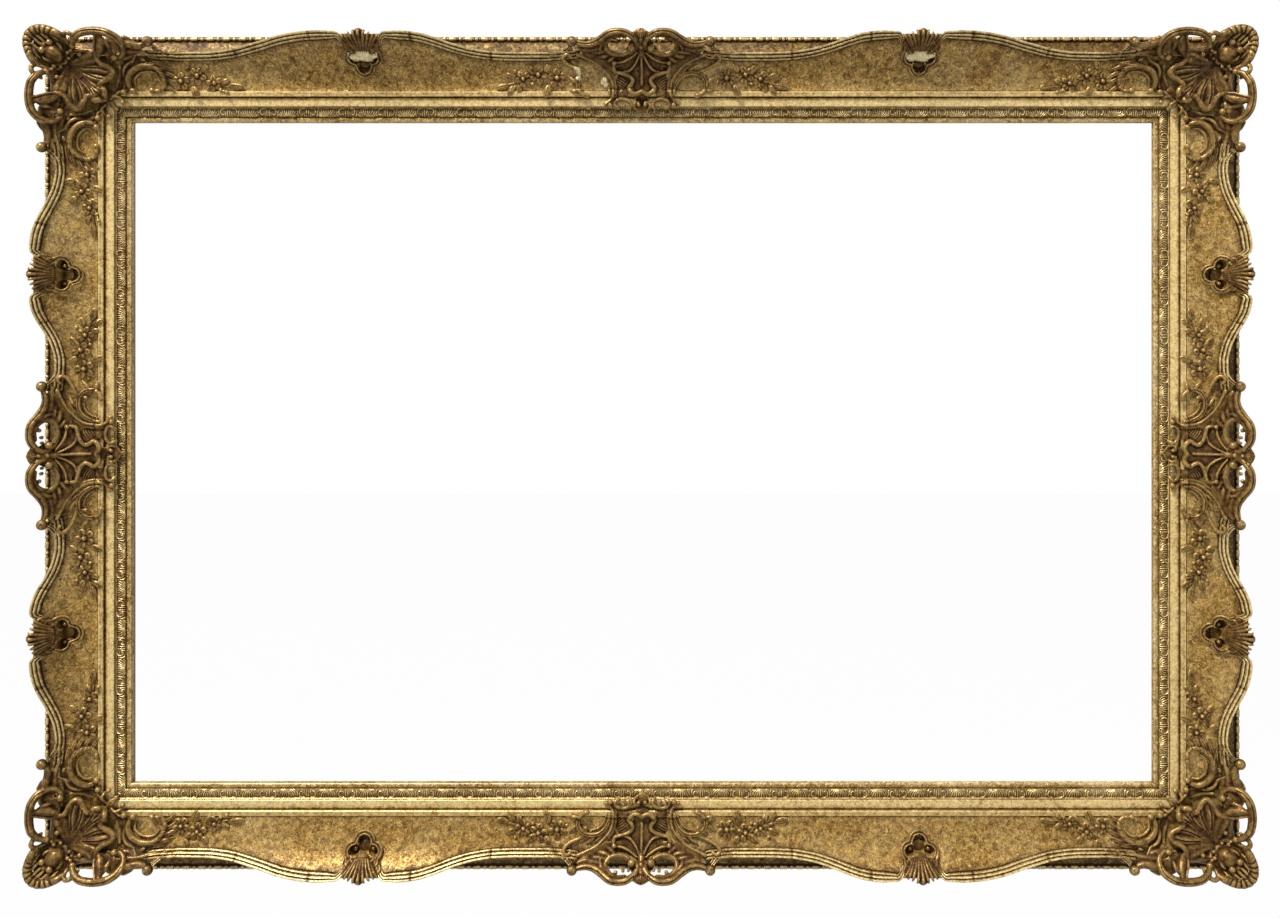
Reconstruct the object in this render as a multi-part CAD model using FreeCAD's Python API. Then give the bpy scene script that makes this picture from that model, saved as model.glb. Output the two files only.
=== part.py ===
"""Ornate gilded picture frame with swept rails, corner, centre and clip ornaments.

X runs to the right, Z runs up and the front faces -Y. The origin is the centre of the sight opening,
on the plane of the wall that the four back pads touch. Lengths are in millimetres.

Each piece is drawn as seen from the front, in a plan of X and Z with its height above the back of the
wood, and stood up at the end. Across a rail, "out" runs from the sight edge to the outer edge.
"""
import FreeCAD
import Part
import math
import os
from FreeCAD import Vector

# The picture that the frame holds, and the rebate that it lies in
canvas_w = 1000.0
canvas_h = 650.0
canvas_play = 1.5
rebate_lap = 6.5
rebate_depth = 18.0
sight_w = canvas_w + 2 * canvas_play - 2 * rebate_lap
sight_h = canvas_h + 2 * canvas_play - 2 * rebate_lap

# The moulding's section, from the sight edge outwards
moulding_w = 82.0
slip_w = 14.3
lip_w = 4.7
lip_rise = 6.0
slip_rise = 9.0
slip_joint = 0.2
glue_groove_in = 6.2
glue_groove_w = 1.0
glue_groove_depth = 0.5
frieze_w = 9.1
frieze_rise = 11.0
fillet_w = 6.6
fillet_rise = 14.0
cove_foot_rise = 12.5
crest_rise = 42.0
cove_hollow = 7.2
shoulder_top_rise = 19.0
shoulder_foot_rise = 9.0

# The bead-and-reel strip along the outer edge
bead_strip_w = 4.6
bead_strip_rise = 11.0
bead_pitch = 15.7
bead_share = 0.30
reel_share = 0.46
bead_neck_share = 0.5

# The reeded ridge that winds along the crest
ridge_w = 7.5
ridge_rise = 3.6
ridge_bay_depth = 22.0
ridge_swell_depth = 4.5
core_overhang = 1.0
knob_r = 5.0
knob_along = 28.0
knob_depth = 10.0
knob_turn_shares = ((2.6, 0.125), (1.2, 0.46), (0.3, 0.75))
centre_knob_along = 65.5
curl_along = 22.5
curl_depth = 9.0

# The applied ornaments
glue_gap = 0.2
clip_place_share = 0.537
corner_rise = 6.0
centre_rise = 5.5
scroll_rise = 5.0
clip_rise = 4.5
spray_rise = 3.5
rib_depth = 1.6
rib_w = 1.2
raised_step = 1.0
lobe_wall_rise = 39.5
lobe_dome_h = 8.0
bud_r = 7.5
clip_recess_floor = 4.5

# The hardware on the back
pad_thick = 6.0
pad_r = 9.0
pad_out = 52.0
key_thick = 3.0
key_reach = 40.0
key_back_cover = 8.0
key_fit = 0.1
strap_w = 14.0
strap_len = 42.0
strap_thick = 1.2
strap_corner_r = 2.8
strap_out = 44.0
strap_z = 130.0
knuckle_w = 9.0
knuckle_wall = 1.15
ring_wire_r = 1.5
ring_w = 19.0
ring_leg = 7.0
ring_fit = 0.05
ring_clear = 0.35
screw_r = 1.6
screw_len = 14.0
screw_head_r = 3.2
screw_head_h = 1.6
screw_fit = 0.05
strap_hole_fit = 0.3
strap_screw_first = 8.5
strap_screw_pitch = 21.0
button_w = 12.0
button_len = 30.0
button_thick = 1.4
button_out = 15.0
button_clear = 0.1
button_place_share = 0.45
cut_over = 1.0

# Heights above the back of the wood, worked out from the section
batten_top = rebate_depth
lip_h = batten_top + lip_rise
slip_h = batten_top + slip_rise
frieze_h = batten_top + frieze_rise
fillet_h = batten_top + fillet_rise
cove_foot_h = batten_top + cove_foot_rise
crest_h = batten_top + crest_rise
bead_top_h = batten_top + bead_strip_rise
far_h = 2 * crest_h

# Places across the section, out from the sight edge
frieze_out = slip_w + frieze_w
fillet_out = frieze_out + fillet_w
bead_in = moulding_w - bead_strip_w
bay_out = moulding_w - ridge_bay_depth
swell_out = moulding_w - ridge_swell_depth
core_out = swell_out + core_overhang
knob_out = moulding_w - knob_depth
far_out = 2 * moulding_w

# The course of the ridge: share of the way from the clip, then share of the swell
outer_course_shares = (
    (0.11, 1.0), (0.17, 1.0), (0.226, 0.97), (0.287, 0.89), (0.352, 0.75), (0.413, 0.54),
    (0.48, 0.34), (0.543, 0.15), (0.63, 0.02), (0.74, 0.0),
)
inner_course_shares = (
    (0.08, 1.0), (0.125, 1.0), (0.17, 0.97), (0.214, 0.89), (0.265, 0.69), (0.32, 0.43),
    (0.38, 0.20), (0.45, 0.05), (0.53, 0.0),
)


# The cove is an arc through its foot and the crest; these give its circle
chord_w = moulding_w - fillet_out
chord_h = crest_h - cove_foot_h
chord = math.hypot(chord_w, chord_h)
cove_r = (chord * chord / 4 + cove_hollow * cove_hollow) / (2 * cove_hollow)
cove_axis_out = (fillet_out + moulding_w) / 2 - (cove_r - cove_hollow) * chord_h / chord
cove_axis_h = (cove_foot_h + crest_h) / 2 + (cove_r - cove_hollow) * chord_w / chord


def cove_height(out):
    """Height of the cove's face at a place across the rail, level with the crest core beyond it."""
    reach = min(max(out, fillet_out), core_out) - cove_axis_out
    return cove_axis_h - math.sqrt(cove_r * cove_r - reach * reach)


def polyline(points):
    """Closed outline of straight edges."""
    return Part.Wire(Part.makePolygon(points + points[:1]).Edges)


def spline(points):
    """One smooth edge through the points."""
    curve = Part.BSplineCurve()
    curve.interpolate(points)
    return curve.toShape()


def line(start, end):
    return Part.LineSegment(start, end).toShape()


def plan(points):
    """Plan points in the moulding's own measure, given as shares of its width."""
    return [Vector(x * moulding_w, y * moulding_w, 0) for x, y in points]


def prism(face):
    """A plan face stood up through the whole height of the moulding."""
    return face.extrude(Vector(0, 0, far_h))


def disc(x, y, radius):
    return Part.makeCylinder(radius, far_h, Vector(x, y, 0))


blade_middle_share = 0.45
scroll_boss_share = 0.62


def blade(base, tip, width):
    """A leaf in plan, as a prism: two arcs that meet at both ends."""
    along = tip - base
    side = Vector(-along.y, along.x, 0).normalize() * (width / 2)
    middle = base + along * blade_middle_share
    edges = [Part.Arc(base, middle + side, tip).toShape(), Part.Arc(tip, middle - side, base).toShape()]
    return prism(Part.Face(Part.Wire(edges)))


def band(points, width):
    """A strip of even width along a smooth line in plan, as a prism with square ends."""
    curve = Part.BSplineCurve()
    curve.interpolate(points)
    sides = []
    for hand in (1, -1):
        edge = []
        for point in points:
            run = curve.tangent(curve.parameter(point))[0]
            edge.append(point + Vector(-run.y, run.x, 0) * (hand * width / 2))
        sides.append(edge)
    left, right = sides
    edges = [spline(left), line(left[-1], right[-1]), spline(right), line(right[0], left[0])]
    return prism(Part.Face(Part.Wire(Part.__sortEdges__(edges))))


def scroll(points, width):
    """A band with a round boss at each end."""
    ends = [disc(points[i].x, points[i].y, width * scroll_boss_share) for i in (0, -1)]
    return band(points, width).multiFuse(ends)


def ball(x, y, radius, height):
    return Part.makeSphere(radius, Vector(x, y, height))


def section_solid(edges, length):
    """A section across the rail, drawn in out and height, run along the rail for a length each way."""
    face = Part.Face(Part.Wire(edges))
    face.translate(Vector(-length, 0, 0))
    return face.extrude(Vector(2 * length, 0, 0))


def across(out, height):
    return Vector(0, out, height)


def cove_arc(lift):
    """The cove's arc raised by a lift, from the foot to the edge of the crest core."""
    middle = (fillet_out + core_out) / 2
    ends = [across(out, cove_height(out) + lift) for out in (fillet_out, middle, core_out)]
    return Part.Arc(*ends).toShape()


def layer(rise, length):
    """The space between an ornament's bed, less its glue, and its face, as high as the rise."""
    lower = [
        across(0, frieze_h + glue_gap),
        across(frieze_out - glue_gap, frieze_h + glue_gap),
        across(frieze_out - glue_gap, fillet_h + glue_gap),
        across(fillet_out + glue_gap, fillet_h + glue_gap),
    ]
    arc_low = fillet_out + glue_gap
    arc_mid = (arc_low + core_out) / 2
    under = [across(out, cove_height(out) + glue_gap) for out in (arc_low, arc_mid, core_out)]
    far_low = across(far_out, cove_height(core_out) + glue_gap)
    far_high = across(far_out, cove_height(core_out) + rise)
    level_out = cove_axis_out + math.sqrt(cove_r ** 2 - (cove_axis_h - fillet_h) ** 2)
    level_mid = (level_out + swell_out) / 2
    over = [across(out, cove_height(out) + rise) for out in (level_out, level_mid, swell_out)]
    start_high = across(0, frieze_h + rise)
    edges = [line(a, b) for a, b in zip(lower, lower[1:])]
    edges += [line(lower[-1], under[0]), Part.Arc(*under).toShape(), line(under[-1], far_low)]
    edges += [line(far_low, far_high), line(far_high, over[-1]), Part.Arc(*reversed(over)).toShape()]
    edges += [line(over[0], across(frieze_out, fillet_h + rise))]
    edges += [line(across(frieze_out, fillet_h + rise), start_high), line(start_high, lower[0])]
    return section_solid(edges, length)


def block(top, length):
    """The space over an ornament's bed up to a level top."""
    arc_low = fillet_out + glue_gap
    arc_mid = (arc_low + core_out) / 2
    under = [across(out, cove_height(out) + glue_gap) for out in (arc_low, arc_mid, core_out)]
    far_low = across(far_out, under[-1].z)
    edges = [Part.Arc(*under).toShape(), line(under[-1], far_low), line(far_low, across(far_out, top))]
    edges += [line(across(far_out, top), across(arc_low, top)), line(across(arc_low, top), under[0])]
    return section_solid(edges, length)


def relief(prisms, space):
    """Ornament prisms joined and kept where they pass through a layer or block."""
    whole = prisms[0].multiFuse(prisms[1:]) if len(prisms) > 1 else prisms[0]
    return whole.common(space)


def one(shape):
    """The shape as its single solid, or as a compound where it has more."""
    solids = shape.Solids
    return solids[0] if len(solids) == 1 else Part.makeCompound(solids)


def mirrored(shape, normal):
    return shape.mirror(Vector(0, 0, 0), normal)


def moved(shape, x, y, angle=0.0):
    """A copy turned about its own origin and moved in plan."""
    copy = shape.copy()
    copy.rotate(Vector(0, 0, 0), Vector(0, 0, 1), angle)
    copy.translate(Vector(x, y, 0))
    return copy


def mitred(inner, outer, half):
    """Plan prism of a mitred rail between two places out from the sight edge."""
    points = [Vector(-half - inner, inner, 0), Vector(half + inner, inner, 0)]
    points += [Vector(half + outer, outer, 0), Vector(-half - outer, outer, 0)]
    return prism(Part.Face(polyline(points)))


def course(half, shares, toward_corner):
    """The ridge's line from a clip, in plan, towards the corner or the centre."""
    clip_at = half * clip_place_share
    run = half - clip_at if toward_corner else -clip_at
    swell = swell_out - bay_out
    return [Vector(clip_at + run * along, bay_out + swell * rise, 0) for along, rise in shares]


long_half = sight_w / 2
side_half = sight_h / 2
rails = (
    ("top", long_half, 0.0, 0.0, side_half),
    ("right", side_half, -90.0, long_half, 0.0),
    ("bottom", long_half, 180.0, 0.0, -side_half),
    ("left", side_half, 90.0, -long_half, 0.0),
)
corners = (
    ("top_right", ()),
    ("top_left", (Vector(1, 0, 0),)),
    ("bottom_right", (Vector(0, 1, 0),)),
    ("bottom_left", (Vector(1, 0, 0), Vector(0, 1, 0))),
)

os.makedirs("parts", exist_ok=True)


def write(name, shape):
    """Stand a plan-built shape up behind its wall plane and write it."""
    stood = shape.copy()
    stood.rotate(Vector(0, 0, 0), Vector(1, 0, 0), 90)
    stood.translate(Vector(0, -pad_thick, 0))
    if not stood.isValid():
        print("not valid:", name)
    print(name, len(stood.Solids), round(stood.Volume))
    stood.exportStep("parts/" + name + ".step")


def write_rails(stem, make):
    """One piece for each of the four rails, made once for each length of rail."""
    made = {half: make(half) for half in (long_half, side_half)}
    for name, half, angle, x, y in rails:
        write(stem + "_" + name, moved(made[half], x, y, angle))


# The back rails are flat battens, mitred, with a keyed joint at each corner
def key_prism(fit):
    """The three-cornered key in a corner's slot, in plan from the sight corner."""
    tip = moulding_w
    foot = moulding_w - key_reach - fit
    face = Part.Face(polyline([Vector(tip, tip, 0), Vector(foot, tip, 0), Vector(tip, foot, 0)]))
    face.translate(Vector(0, 0, key_back_cover - fit))
    return face.extrude(Vector(0, 0, key_thick + 2 * fit))


def mirror_all(shape, normals):
    for normal in normals:
        shape = mirrored(shape, normal)
    return shape


def screw(x, y, seat):
    """A pan-head screw driven in from the back, its head seated on a face behind the wood."""
    shank = Part.makeCylinder(screw_r, screw_len + seat, Vector(x, y, -seat))
    head = Part.makeCylinder(screw_head_r, screw_head_h, Vector(x, y, -seat - screw_head_h))
    rim = [edge for edge in head.Edges if abs(edge.CenterOfMass.z + seat + screw_head_h) < screw_fit]
    domed = head.makeFillet(screw_head_h / 2, rim[:1])
    return domed.fuse(shank)


def pilot(x, y):
    return Part.makeCylinder(screw_r + screw_fit, screw_len + cut_over, Vector(x, y, -cut_over / 2))


button_places = [
    (side * long_half * button_place_share, row * (side_half + button_out), 0.0, row)
    for row in (1, -1) for side in (-1, 1)
]
button_places += [(side * (long_half + button_out), 0.0, 90.0, side) for side in (-1, 1)]
strap_places = [(side * (long_half + strap_out), strap_z) for side in (-1, 1)]
strap_screw_drops = (strap_screw_first, strap_screw_first + strap_screw_pitch)
strap_screws = [(x, z - drop) for x, z in strap_places for drop in strap_screw_drops]
pilots = [pilot(x, z) for x, z, angle, side in button_places] + [pilot(x, z) for x, z in strap_screws]

corner_slots = [
    mirror_all(moved(key_prism(key_fit), long_half, side_half), normals) for name, normals in corners
]
for name, half, angle, x, y in rails:
    batten = mitred(rebate_lap, moulding_w, half)
    reach = half + moulding_w
    lath = Part.makeBox(2 * reach, moulding_w, rebate_depth, Vector(-reach, 0, 0))
    batten = moved(batten.common(lath), x, y, angle)
    write("back_rail_" + name, one(batten.cut(Part.makeCompound(corner_slots + pilots))))

keys = [mirror_all(moved(key_prism(0), long_half, side_half), normals) for name, normals in corners]
write("mitre_keys", Part.makeCompound(keys))


# The sight slip is a strip of its own, mitred, with a plain lip and a swelled face beyond it. A fine groove
# in its back takes up the glue where it sits on the battens
def sight_slip(half):
    lip_edge = lip_rise / 4
    start = across(0, batten_top)
    lip_side = across(0, lip_h - lip_edge)
    lip_top = across(lip_edge, lip_h)
    lip_end = across(lip_w, lip_h)
    leaf_foot = across(lip_w, lip_h + lip_edge)
    leaf_crown = across((lip_w + slip_w) / 2, slip_h)
    leaf_end = across(slip_w - slip_joint, slip_h - lip_edge)
    back = across(slip_w - slip_joint, batten_top)
    edges = [line(start, lip_side), line(lip_side, lip_top), line(lip_top, lip_end)]
    edges += [line(lip_end, leaf_foot), Part.Arc(leaf_foot, leaf_crown, leaf_end).toShape()]
    groove = [across(glue_groove_in + glue_groove_w, batten_top)]
    groove += [across(glue_groove_in + glue_groove_w / 2, batten_top + glue_groove_depth)]
    groove += [across(glue_groove_in, batten_top)]
    edges += [line(leaf_end, back), line(back, groove[0]), line(groove[0], groove[1])]
    edges += [line(groove[1], groove[2]), line(groove[2], start)]
    return one(section_solid(edges, half + moulding_w).common(mitred(0, slip_w, half)))


write_rails("sight_slip", sight_slip)


# The bead-and-reel strip: a fillet with turned beads and reels let into its top
def bead_strip(half):
    length = half + moulding_w
    bead_r = bead_strip_w / 2
    axis_out = bead_in + bead_r
    axis_h = bead_top_h - bead_r
    count = 2 * round(length / bead_pitch)
    pitch = 2 * length / count
    neck = bead_r * bead_neck_share
    reel = pitch * reel_share / 2
    bead = pitch * bead_share / 2
    points = [Vector(-length, 0, 0), Vector(-length, neck, 0)]
    edges = [line(*points)]
    here = points[-1]
    for i in range(count):
        start = -length + i * pitch
        reel_at = start + pitch / 4
        bead_at = start + pitch * 3 / 4
        stops = [Vector(reel_at - reel, neck, 0), Vector(reel_at - reel, bead_r, 0)]
        stops += [Vector(reel_at + reel, bead_r, 0), Vector(reel_at + reel, neck, 0)]
        stops += [Vector(bead_at - bead, neck, 0)]
        for stop in stops:
            edges.append(line(here, stop))
            here = stop
        bead_end = Vector(bead_at + bead, neck, 0)
        edges.append(Part.Arc(here, Vector(bead_at, bead_r, 0), bead_end).toShape())
        here = bead_end
    last = [Vector(length, neck, 0), Vector(length, 0, 0), Vector(-length, 0, 0)]
    for stop in last:
        edges.append(line(here, stop))
        here = stop
    row = Part.Face(Part.Wire(edges)).revolve(Vector(0, 0, 0), Vector(1, 0, 0), 360)
    row.translate(Vector(0, axis_out, axis_h))
    base = Part.makeBox(2 * length, bead_strip_w, axis_h - batten_top, Vector(-length, bead_in, batten_top))
    return one(base.fuse(row).common(mitred(bead_in, moulding_w, half)))


write_rails("bead_strip", bead_strip)


# The trefoil that opens the cove at each clip, in plan from the clip's middle
trefoil_shares = ((0.0, 0.616, 0.077), (0.117, 0.715, 0.063), (-0.117, 0.715, 0.063))


def trefoil(grow):
    """Three lobes and the web between them, each grown by the same wall."""
    lobes = []
    for x, y, radius in trefoil_shares:
        lobes.append(disc(x * moulding_w, y * moulding_w, radius * moulding_w + grow))
    web = plan([(x, y) for x, y, radius in trefoil_shares])
    return lobes[0].multiFuse(lobes[1:] + [prism(Part.Face(polyline(web)))])


# The cove moulding: one profile run in a straight length, its outer side sawn to the swept course
corner_block_share = 0.74
centre_block_share = 0.11
step_share = 0.09


def swept_plan(half):
    """Plan of a rail's cove, with a block under each corner ornament and the centre ornament."""
    end = half + core_out
    step = step_share * moulding_w
    corner_at = half + corner_block_share * moulding_w
    centre_at = centre_block_share * moulding_w
    edge_out = bay_out + core_overhang
    lift = Vector(0, core_overhang, 0)
    outer_run = [point + lift for point in course(half, outer_course_shares, True)]
    inner_run = [point + lift for point in course(half, inner_course_shares, False)]
    course_edge = inner_run[::-1] + outer_run
    right = [line(Vector(centre_at, core_out, 0), Vector(centre_at + step, edge_out, 0))]
    right += [line(Vector(centre_at + step, edge_out, 0), course_edge[0]), spline(course_edge)]
    right += [line(course_edge[-1], Vector(corner_at - step, edge_out, 0))]
    right += [line(Vector(corner_at - step, edge_out, 0), Vector(corner_at, core_out, 0))]
    right += [line(Vector(corner_at, core_out, 0), Vector(end, core_out, 0))]
    right += [line(Vector(end, core_out, 0), Vector(half + slip_w, slip_w, 0))]
    left = [mirrored(edge, Vector(1, 0, 0)) for edge in right]
    joins = [line(Vector(-centre_at, core_out, 0), Vector(centre_at, core_out, 0))]
    joins += [line(Vector(-half - slip_w, slip_w, 0), Vector(half + slip_w, slip_w, 0))]
    return prism(Part.Face(Part.Wire(Part.__sortEdges__(right + left + joins))))


def cove_moulding(half):
    length = half + moulding_w
    start = across(slip_w, batten_top)
    steps = [start, across(slip_w, frieze_h), across(frieze_out, frieze_h), across(frieze_out, fillet_h)]
    steps += [across(fillet_out, fillet_h), across(fillet_out, cove_foot_h)]
    back = [across(core_out, cove_height(core_out)), across(core_out, bead_top_h + glue_gap)]
    back += [across(bead_in, bead_top_h + glue_gap), across(bead_in, batten_top), start]
    edges = [line(a, b) for a, b in zip(steps, steps[1:])] + [cove_arc(0)]
    edges += [line(a, b) for a, b in zip(back, back[1:])]
    crest = section_solid(edges, length).common(swept_plan(half))
    slope = [across(fillet_out, batten_top), across(fillet_out, batten_top + shoulder_foot_rise)]
    slope += [across(bay_out, batten_top + shoulder_top_rise)]
    slope += [across(bead_in, batten_top + shoulder_foot_rise), across(bead_in, batten_top)]
    shoulder = section_solid(polyline(slope).Edges, length).common(mitred(fillet_out, bead_in, half))
    core = crest.fuse(shoulder)
    recess = trefoil(0)
    recess.translate(Vector(0, 0, batten_top + clip_recess_floor))
    clip_at = half * clip_place_share
    return one(core.cut(Part.makeCompound([moved(recess, side * clip_at, 0) for side in (-1, 1)])))


write_rails("cove_moulding", cove_moulding)


# The reeded ridge runs from each clip to a knob by the corner and a knob by the centre
def ridge(half):
    clip_at = half * clip_place_share
    curl_out = moulding_w - curl_depth
    space = layer(ridge_rise, half + moulding_w)
    pieces = []
    knob_h = cove_height(knob_out) + ridge_rise + knob_r / 3
    for toward, shares, knob_x in (
        (1, outer_course_shares, half - knob_along),
        (-1, inner_course_shares, centre_knob_along),
    ):
        curl = [Vector(clip_at + toward * curl_along, curl_out, 0)]
        turn = []
        for back, rise in knob_turn_shares:
            turn.append(Vector(knob_x - toward * knob_r * back, bay_out + (knob_out - bay_out) * rise, 0))
        first = toward * curl[0].x + ridge_w / 2
        last = toward * turn[0].x - ridge_w
        sweep = [point for point in course(half, shares, toward > 0) if first < toward * point.x < last]
        strip = relief([band(curl + sweep + turn, ridge_w)], space)
        pieces.append(one(strip.fuse(ball(knob_x, knob_out, knob_r, knob_h))))
    return Part.makeCompound(pieces + [mirrored(piece, Vector(1, 0, 0)) for piece in pieces])


write_rails("swept_ridge", ridge)


# Corner ornaments, one half in plan from the sight corner: x beyond the corner, y out across the rail
corner_fan_shares = (
    (0.245, 0.245), (0.225, 0.33), (0.27, 0.40), (0.23, 0.435), (0.145, 0.48), (0.11, 0.545),
    (0.16, 0.60), (0.23, 0.635), (0.27, 0.67), (0.29, 0.755), (0.45, 0.80), (0.60, 0.86),
)
corner_fan_root_share = 0.60
corner_heart_share = 0.80
corner_rib_tip_shares = ((0.245, 0.36), (0.165, 0.455), (0.13, 0.57), (0.25, 0.65))
corner_loop_shares = (
    (0.60, 0.86), (0.535, 0.90), (0.465, 0.96), (0.305, 1.005), (0.135, 0.975), (0.067, 0.88),
    (0.067, 0.755),
)
corner_wall_shares = ((0.067, 0.755), (0.17, 0.73), (0.30, 0.735))
corner_curl_shares = ((0.12, 0.53), (0.05, 0.44), (0.012, 0.365), (0.06, 0.31), (0.11, 0.26), (0.11, 0.18))
corner_scroll_shares = (
    (-0.085, 0.305), (-0.037, 0.40), (-0.037, 0.49), (-0.09, 0.57), (-0.17, 0.62), (-0.305, 0.64),
    (-0.415, 0.56), (-0.463, 0.43), (-0.41, 0.32), (-0.33, 0.29),
)
corner_tie_shares = ((-0.05, 0.53), (0.04, 0.545), (0.14, 0.56))
corner_lobe_share = 0.866
corner_lobe_r_share = 0.20
corner_bud_share = 0.72
loop_w_share = 0.09
loop_boss_share = 0.7
scroll_w_share = 0.07
curl_w_share = 0.05


def corner_half():
    """One half of a corner ornament: half the shell fan, one pierced loop and the scrolls beside it."""
    reach = 2 * moulding_w
    fan_root = corner_fan_root_share
    heart = (corner_heart_share, corner_heart_share)
    fan_edges = [line(*plan((heart, corner_fan_shares[0]))), spline(plan(corner_fan_shares))]
    fan_edges += [line(*plan((corner_fan_shares[-1], heart)))]
    fan = prism(Part.Face(Part.Wire(fan_edges)))
    low = [fan, scroll(plan(corner_curl_shares), curl_w_share * moulding_w)]
    low += [band(plan(corner_wall_shares), loop_w_share * moulding_w)]
    high = [band(plan(corner_loop_shares), loop_w_share * moulding_w)]
    loop_end = plan(corner_loop_shares[-1:])[0]
    high += [disc(loop_end.x, loop_end.y, loop_w_share * moulding_w * loop_boss_share)]
    side = [scroll(plan(corner_scroll_shares), scroll_w_share * moulding_w)]
    side += [band(plan(corner_tie_shares), scroll_w_share * moulding_w)]
    wedge = prism(Part.Face(polyline([Vector(-reach, 0, 0), Vector(0, 0, 0), Vector(reach, reach, 0),
                                      Vector(-reach, reach, 0)])))
    shell = relief(low, layer(corner_rise, reach))
    tube = relief(high, layer(corner_rise + raised_step, reach))
    arms = relief(side, layer(scroll_rise, reach))
    grooves = []
    for tip in corner_rib_tip_shares:
        halfway = ((tip[0] + fan_root) / 2, (tip[1] + fan_root) / 2)
        rib = band(plan(((fan_root, fan_root), halfway, tip)), rib_w)
        grooves.append(rib)
    cutter = relief(grooves, layer(far_h, reach).cut(layer(corner_rise - rib_depth, reach)))
    return shell.cut(cutter).multiFuse([tube, arms]).common(wedge)


def corner_ornament():
    half = corner_half()
    lobe_at = corner_lobe_share * moulding_w
    lobe_r = corner_lobe_r_share * moulding_w
    wall_top = batten_top + lobe_wall_rise
    wall = relief([disc(lobe_at, lobe_at, lobe_r)], block(wall_top, 2 * moulding_w))
    wedge_points = [Vector(0, 0, 0), Vector(far_out, far_out, 0), Vector(0, far_out, 0)]
    wedge = prism(Part.Face(polyline(wedge_points)))
    wall = wall.common(wedge)
    dome_r = (lobe_r * lobe_r + lobe_dome_h * lobe_dome_h) / (2 * lobe_dome_h)
    dome = ball(lobe_at, lobe_at, dome_r, wall_top + lobe_dome_h - dome_r)
    dome = dome.common(Part.makeCylinder(lobe_r, lobe_dome_h * 2, Vector(lobe_at, lobe_at, wall_top)))
    bud_at = corner_bud_share * moulding_w
    half = half.fuse(wall)
    swapped = half.mirror(Vector(0, 0, 0), Vector(1, -1, 0).normalize())
    bud = ball(bud_at, bud_at, bud_r, wall_top)
    return half.multiFuse([swapped, dome, bud]).removeSplitter()


corner_piece = corner_ornament()
for name, normals in corners:
    shape = moved(corner_piece, long_half, side_half)
    write("corner_ornament_" + name, one(mirror_all(shape, normals)))


# Centre ornaments, one half in plan from the middle of the rail: x along it, y out across it
centre_plate_shares = (
    (0.0, 1.035), (0.146, 1.006), (0.305, 1.018), (0.44, 1.0), (0.60, 0.945), (0.685, 0.86),
    (0.685, 0.77), (0.71, 0.70), (0.573, 0.62), (0.45, 0.56), (0.30, 0.53), (0.183, 0.494),
    (0.146, 0.457), (0.134, 0.415), (0.152, 0.354), (0.128, 0.305), (0.061, 0.311), (0.0, 0.33),
)
centre_hole_shares = (0.238, 0.817, 0.128, 0.061)
centre_band_shares = (
    (0.40, 0.244), (0.372, 0.34), (0.384, 0.45), (0.44, 0.537), (0.524, 0.61), (0.71, 0.675),
)
centre_scroll_shares = (
    (0.47, 0.53), (0.56, 0.575), (0.68, 0.55), (0.75, 0.44), (0.73, 0.33), (0.64, 0.27),
    (0.54, 0.285), (0.49, 0.37),
)
centre_curl_shares = ((0.13, 0.32), (0.20, 0.25), (0.19, 0.15))
centre_heart_shares = ((0.05, 0.33), (0.10, 0.24), (0.085, 0.14), (0.012, 0.075))
centre_rib_tip_shares = ((0.0, 0.36), (0.10, 0.35), (0.11, 0.42), (0.19, 0.52))
centre_fan_root_share = 0.72
centre_boss_r_share = 0.08


def centre_ornament():
    """A pierced palmette: plate with its loop holes, ribbed fan, side bands, scrolls and heart."""
    reach = 2 * moulding_w
    outer = Vector(*plan(centre_plate_shares[:1])[0])
    inner = Vector(*plan(centre_plate_shares[-1:])[0])
    plate = prism(Part.Face(Part.Wire([spline(plan(centre_plate_shares)), line(inner, outer)])))
    hole_x, hole_y, hole_long, hole_wide = [share * moulding_w for share in centre_hole_shares]
    hole = Part.Ellipse(Vector(hole_x, hole_y, 0), hole_long, hole_wide).toShape()
    plate = plate.cut(prism(Part.Face(Part.Wire([hole]))))
    low = [plate, scroll(plan(centre_curl_shares), curl_w_share * moulding_w)]
    low += [scroll(plan(centre_heart_shares), curl_w_share * moulding_w)]
    high = [scroll(plan(centre_band_shares), scroll_w_share * moulding_w)]
    side = [scroll(plan(centre_scroll_shares), scroll_w_share * moulding_w)]
    shell = relief(low, layer(centre_rise, reach))
    raised = relief(high, layer(centre_rise + raised_step, reach))
    arms = relief(side, layer(scroll_rise, reach))
    root = (0.0, centre_fan_root_share)
    grooves = []
    for tip in centre_rib_tip_shares:
        middle = (tip[0] / 2, (tip[1] + root[1]) / 2)
        grooves.append(band(plan((root, middle, tip)), rib_w))
    cutter = relief(grooves, layer(far_h, reach).cut(layer(centre_rise - rib_depth, reach)))
    right = prism(Part.Face(polyline([Vector(0, 0, 0), Vector(reach, 0, 0), Vector(reach, reach, 0),
                                      Vector(0, reach, 0)])))
    half = shell.cut(cutter).multiFuse([raised, arms]).common(right)
    boss_out = centre_fan_root_share * moulding_w
    boss_r = centre_boss_r_share * moulding_w
    boss = ball(0, boss_out, boss_r, cove_height(boss_out) + centre_rise).common(block(far_h, reach))
    return one(half.multiFuse([mirrored(half, Vector(1, 0, 0)), boss]).removeSplitter())


centre_piece = centre_ornament()
for name, half, angle, x, y in rails:
    write("centre_ornament_" + name, moved(centre_piece, x, y, angle))


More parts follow.
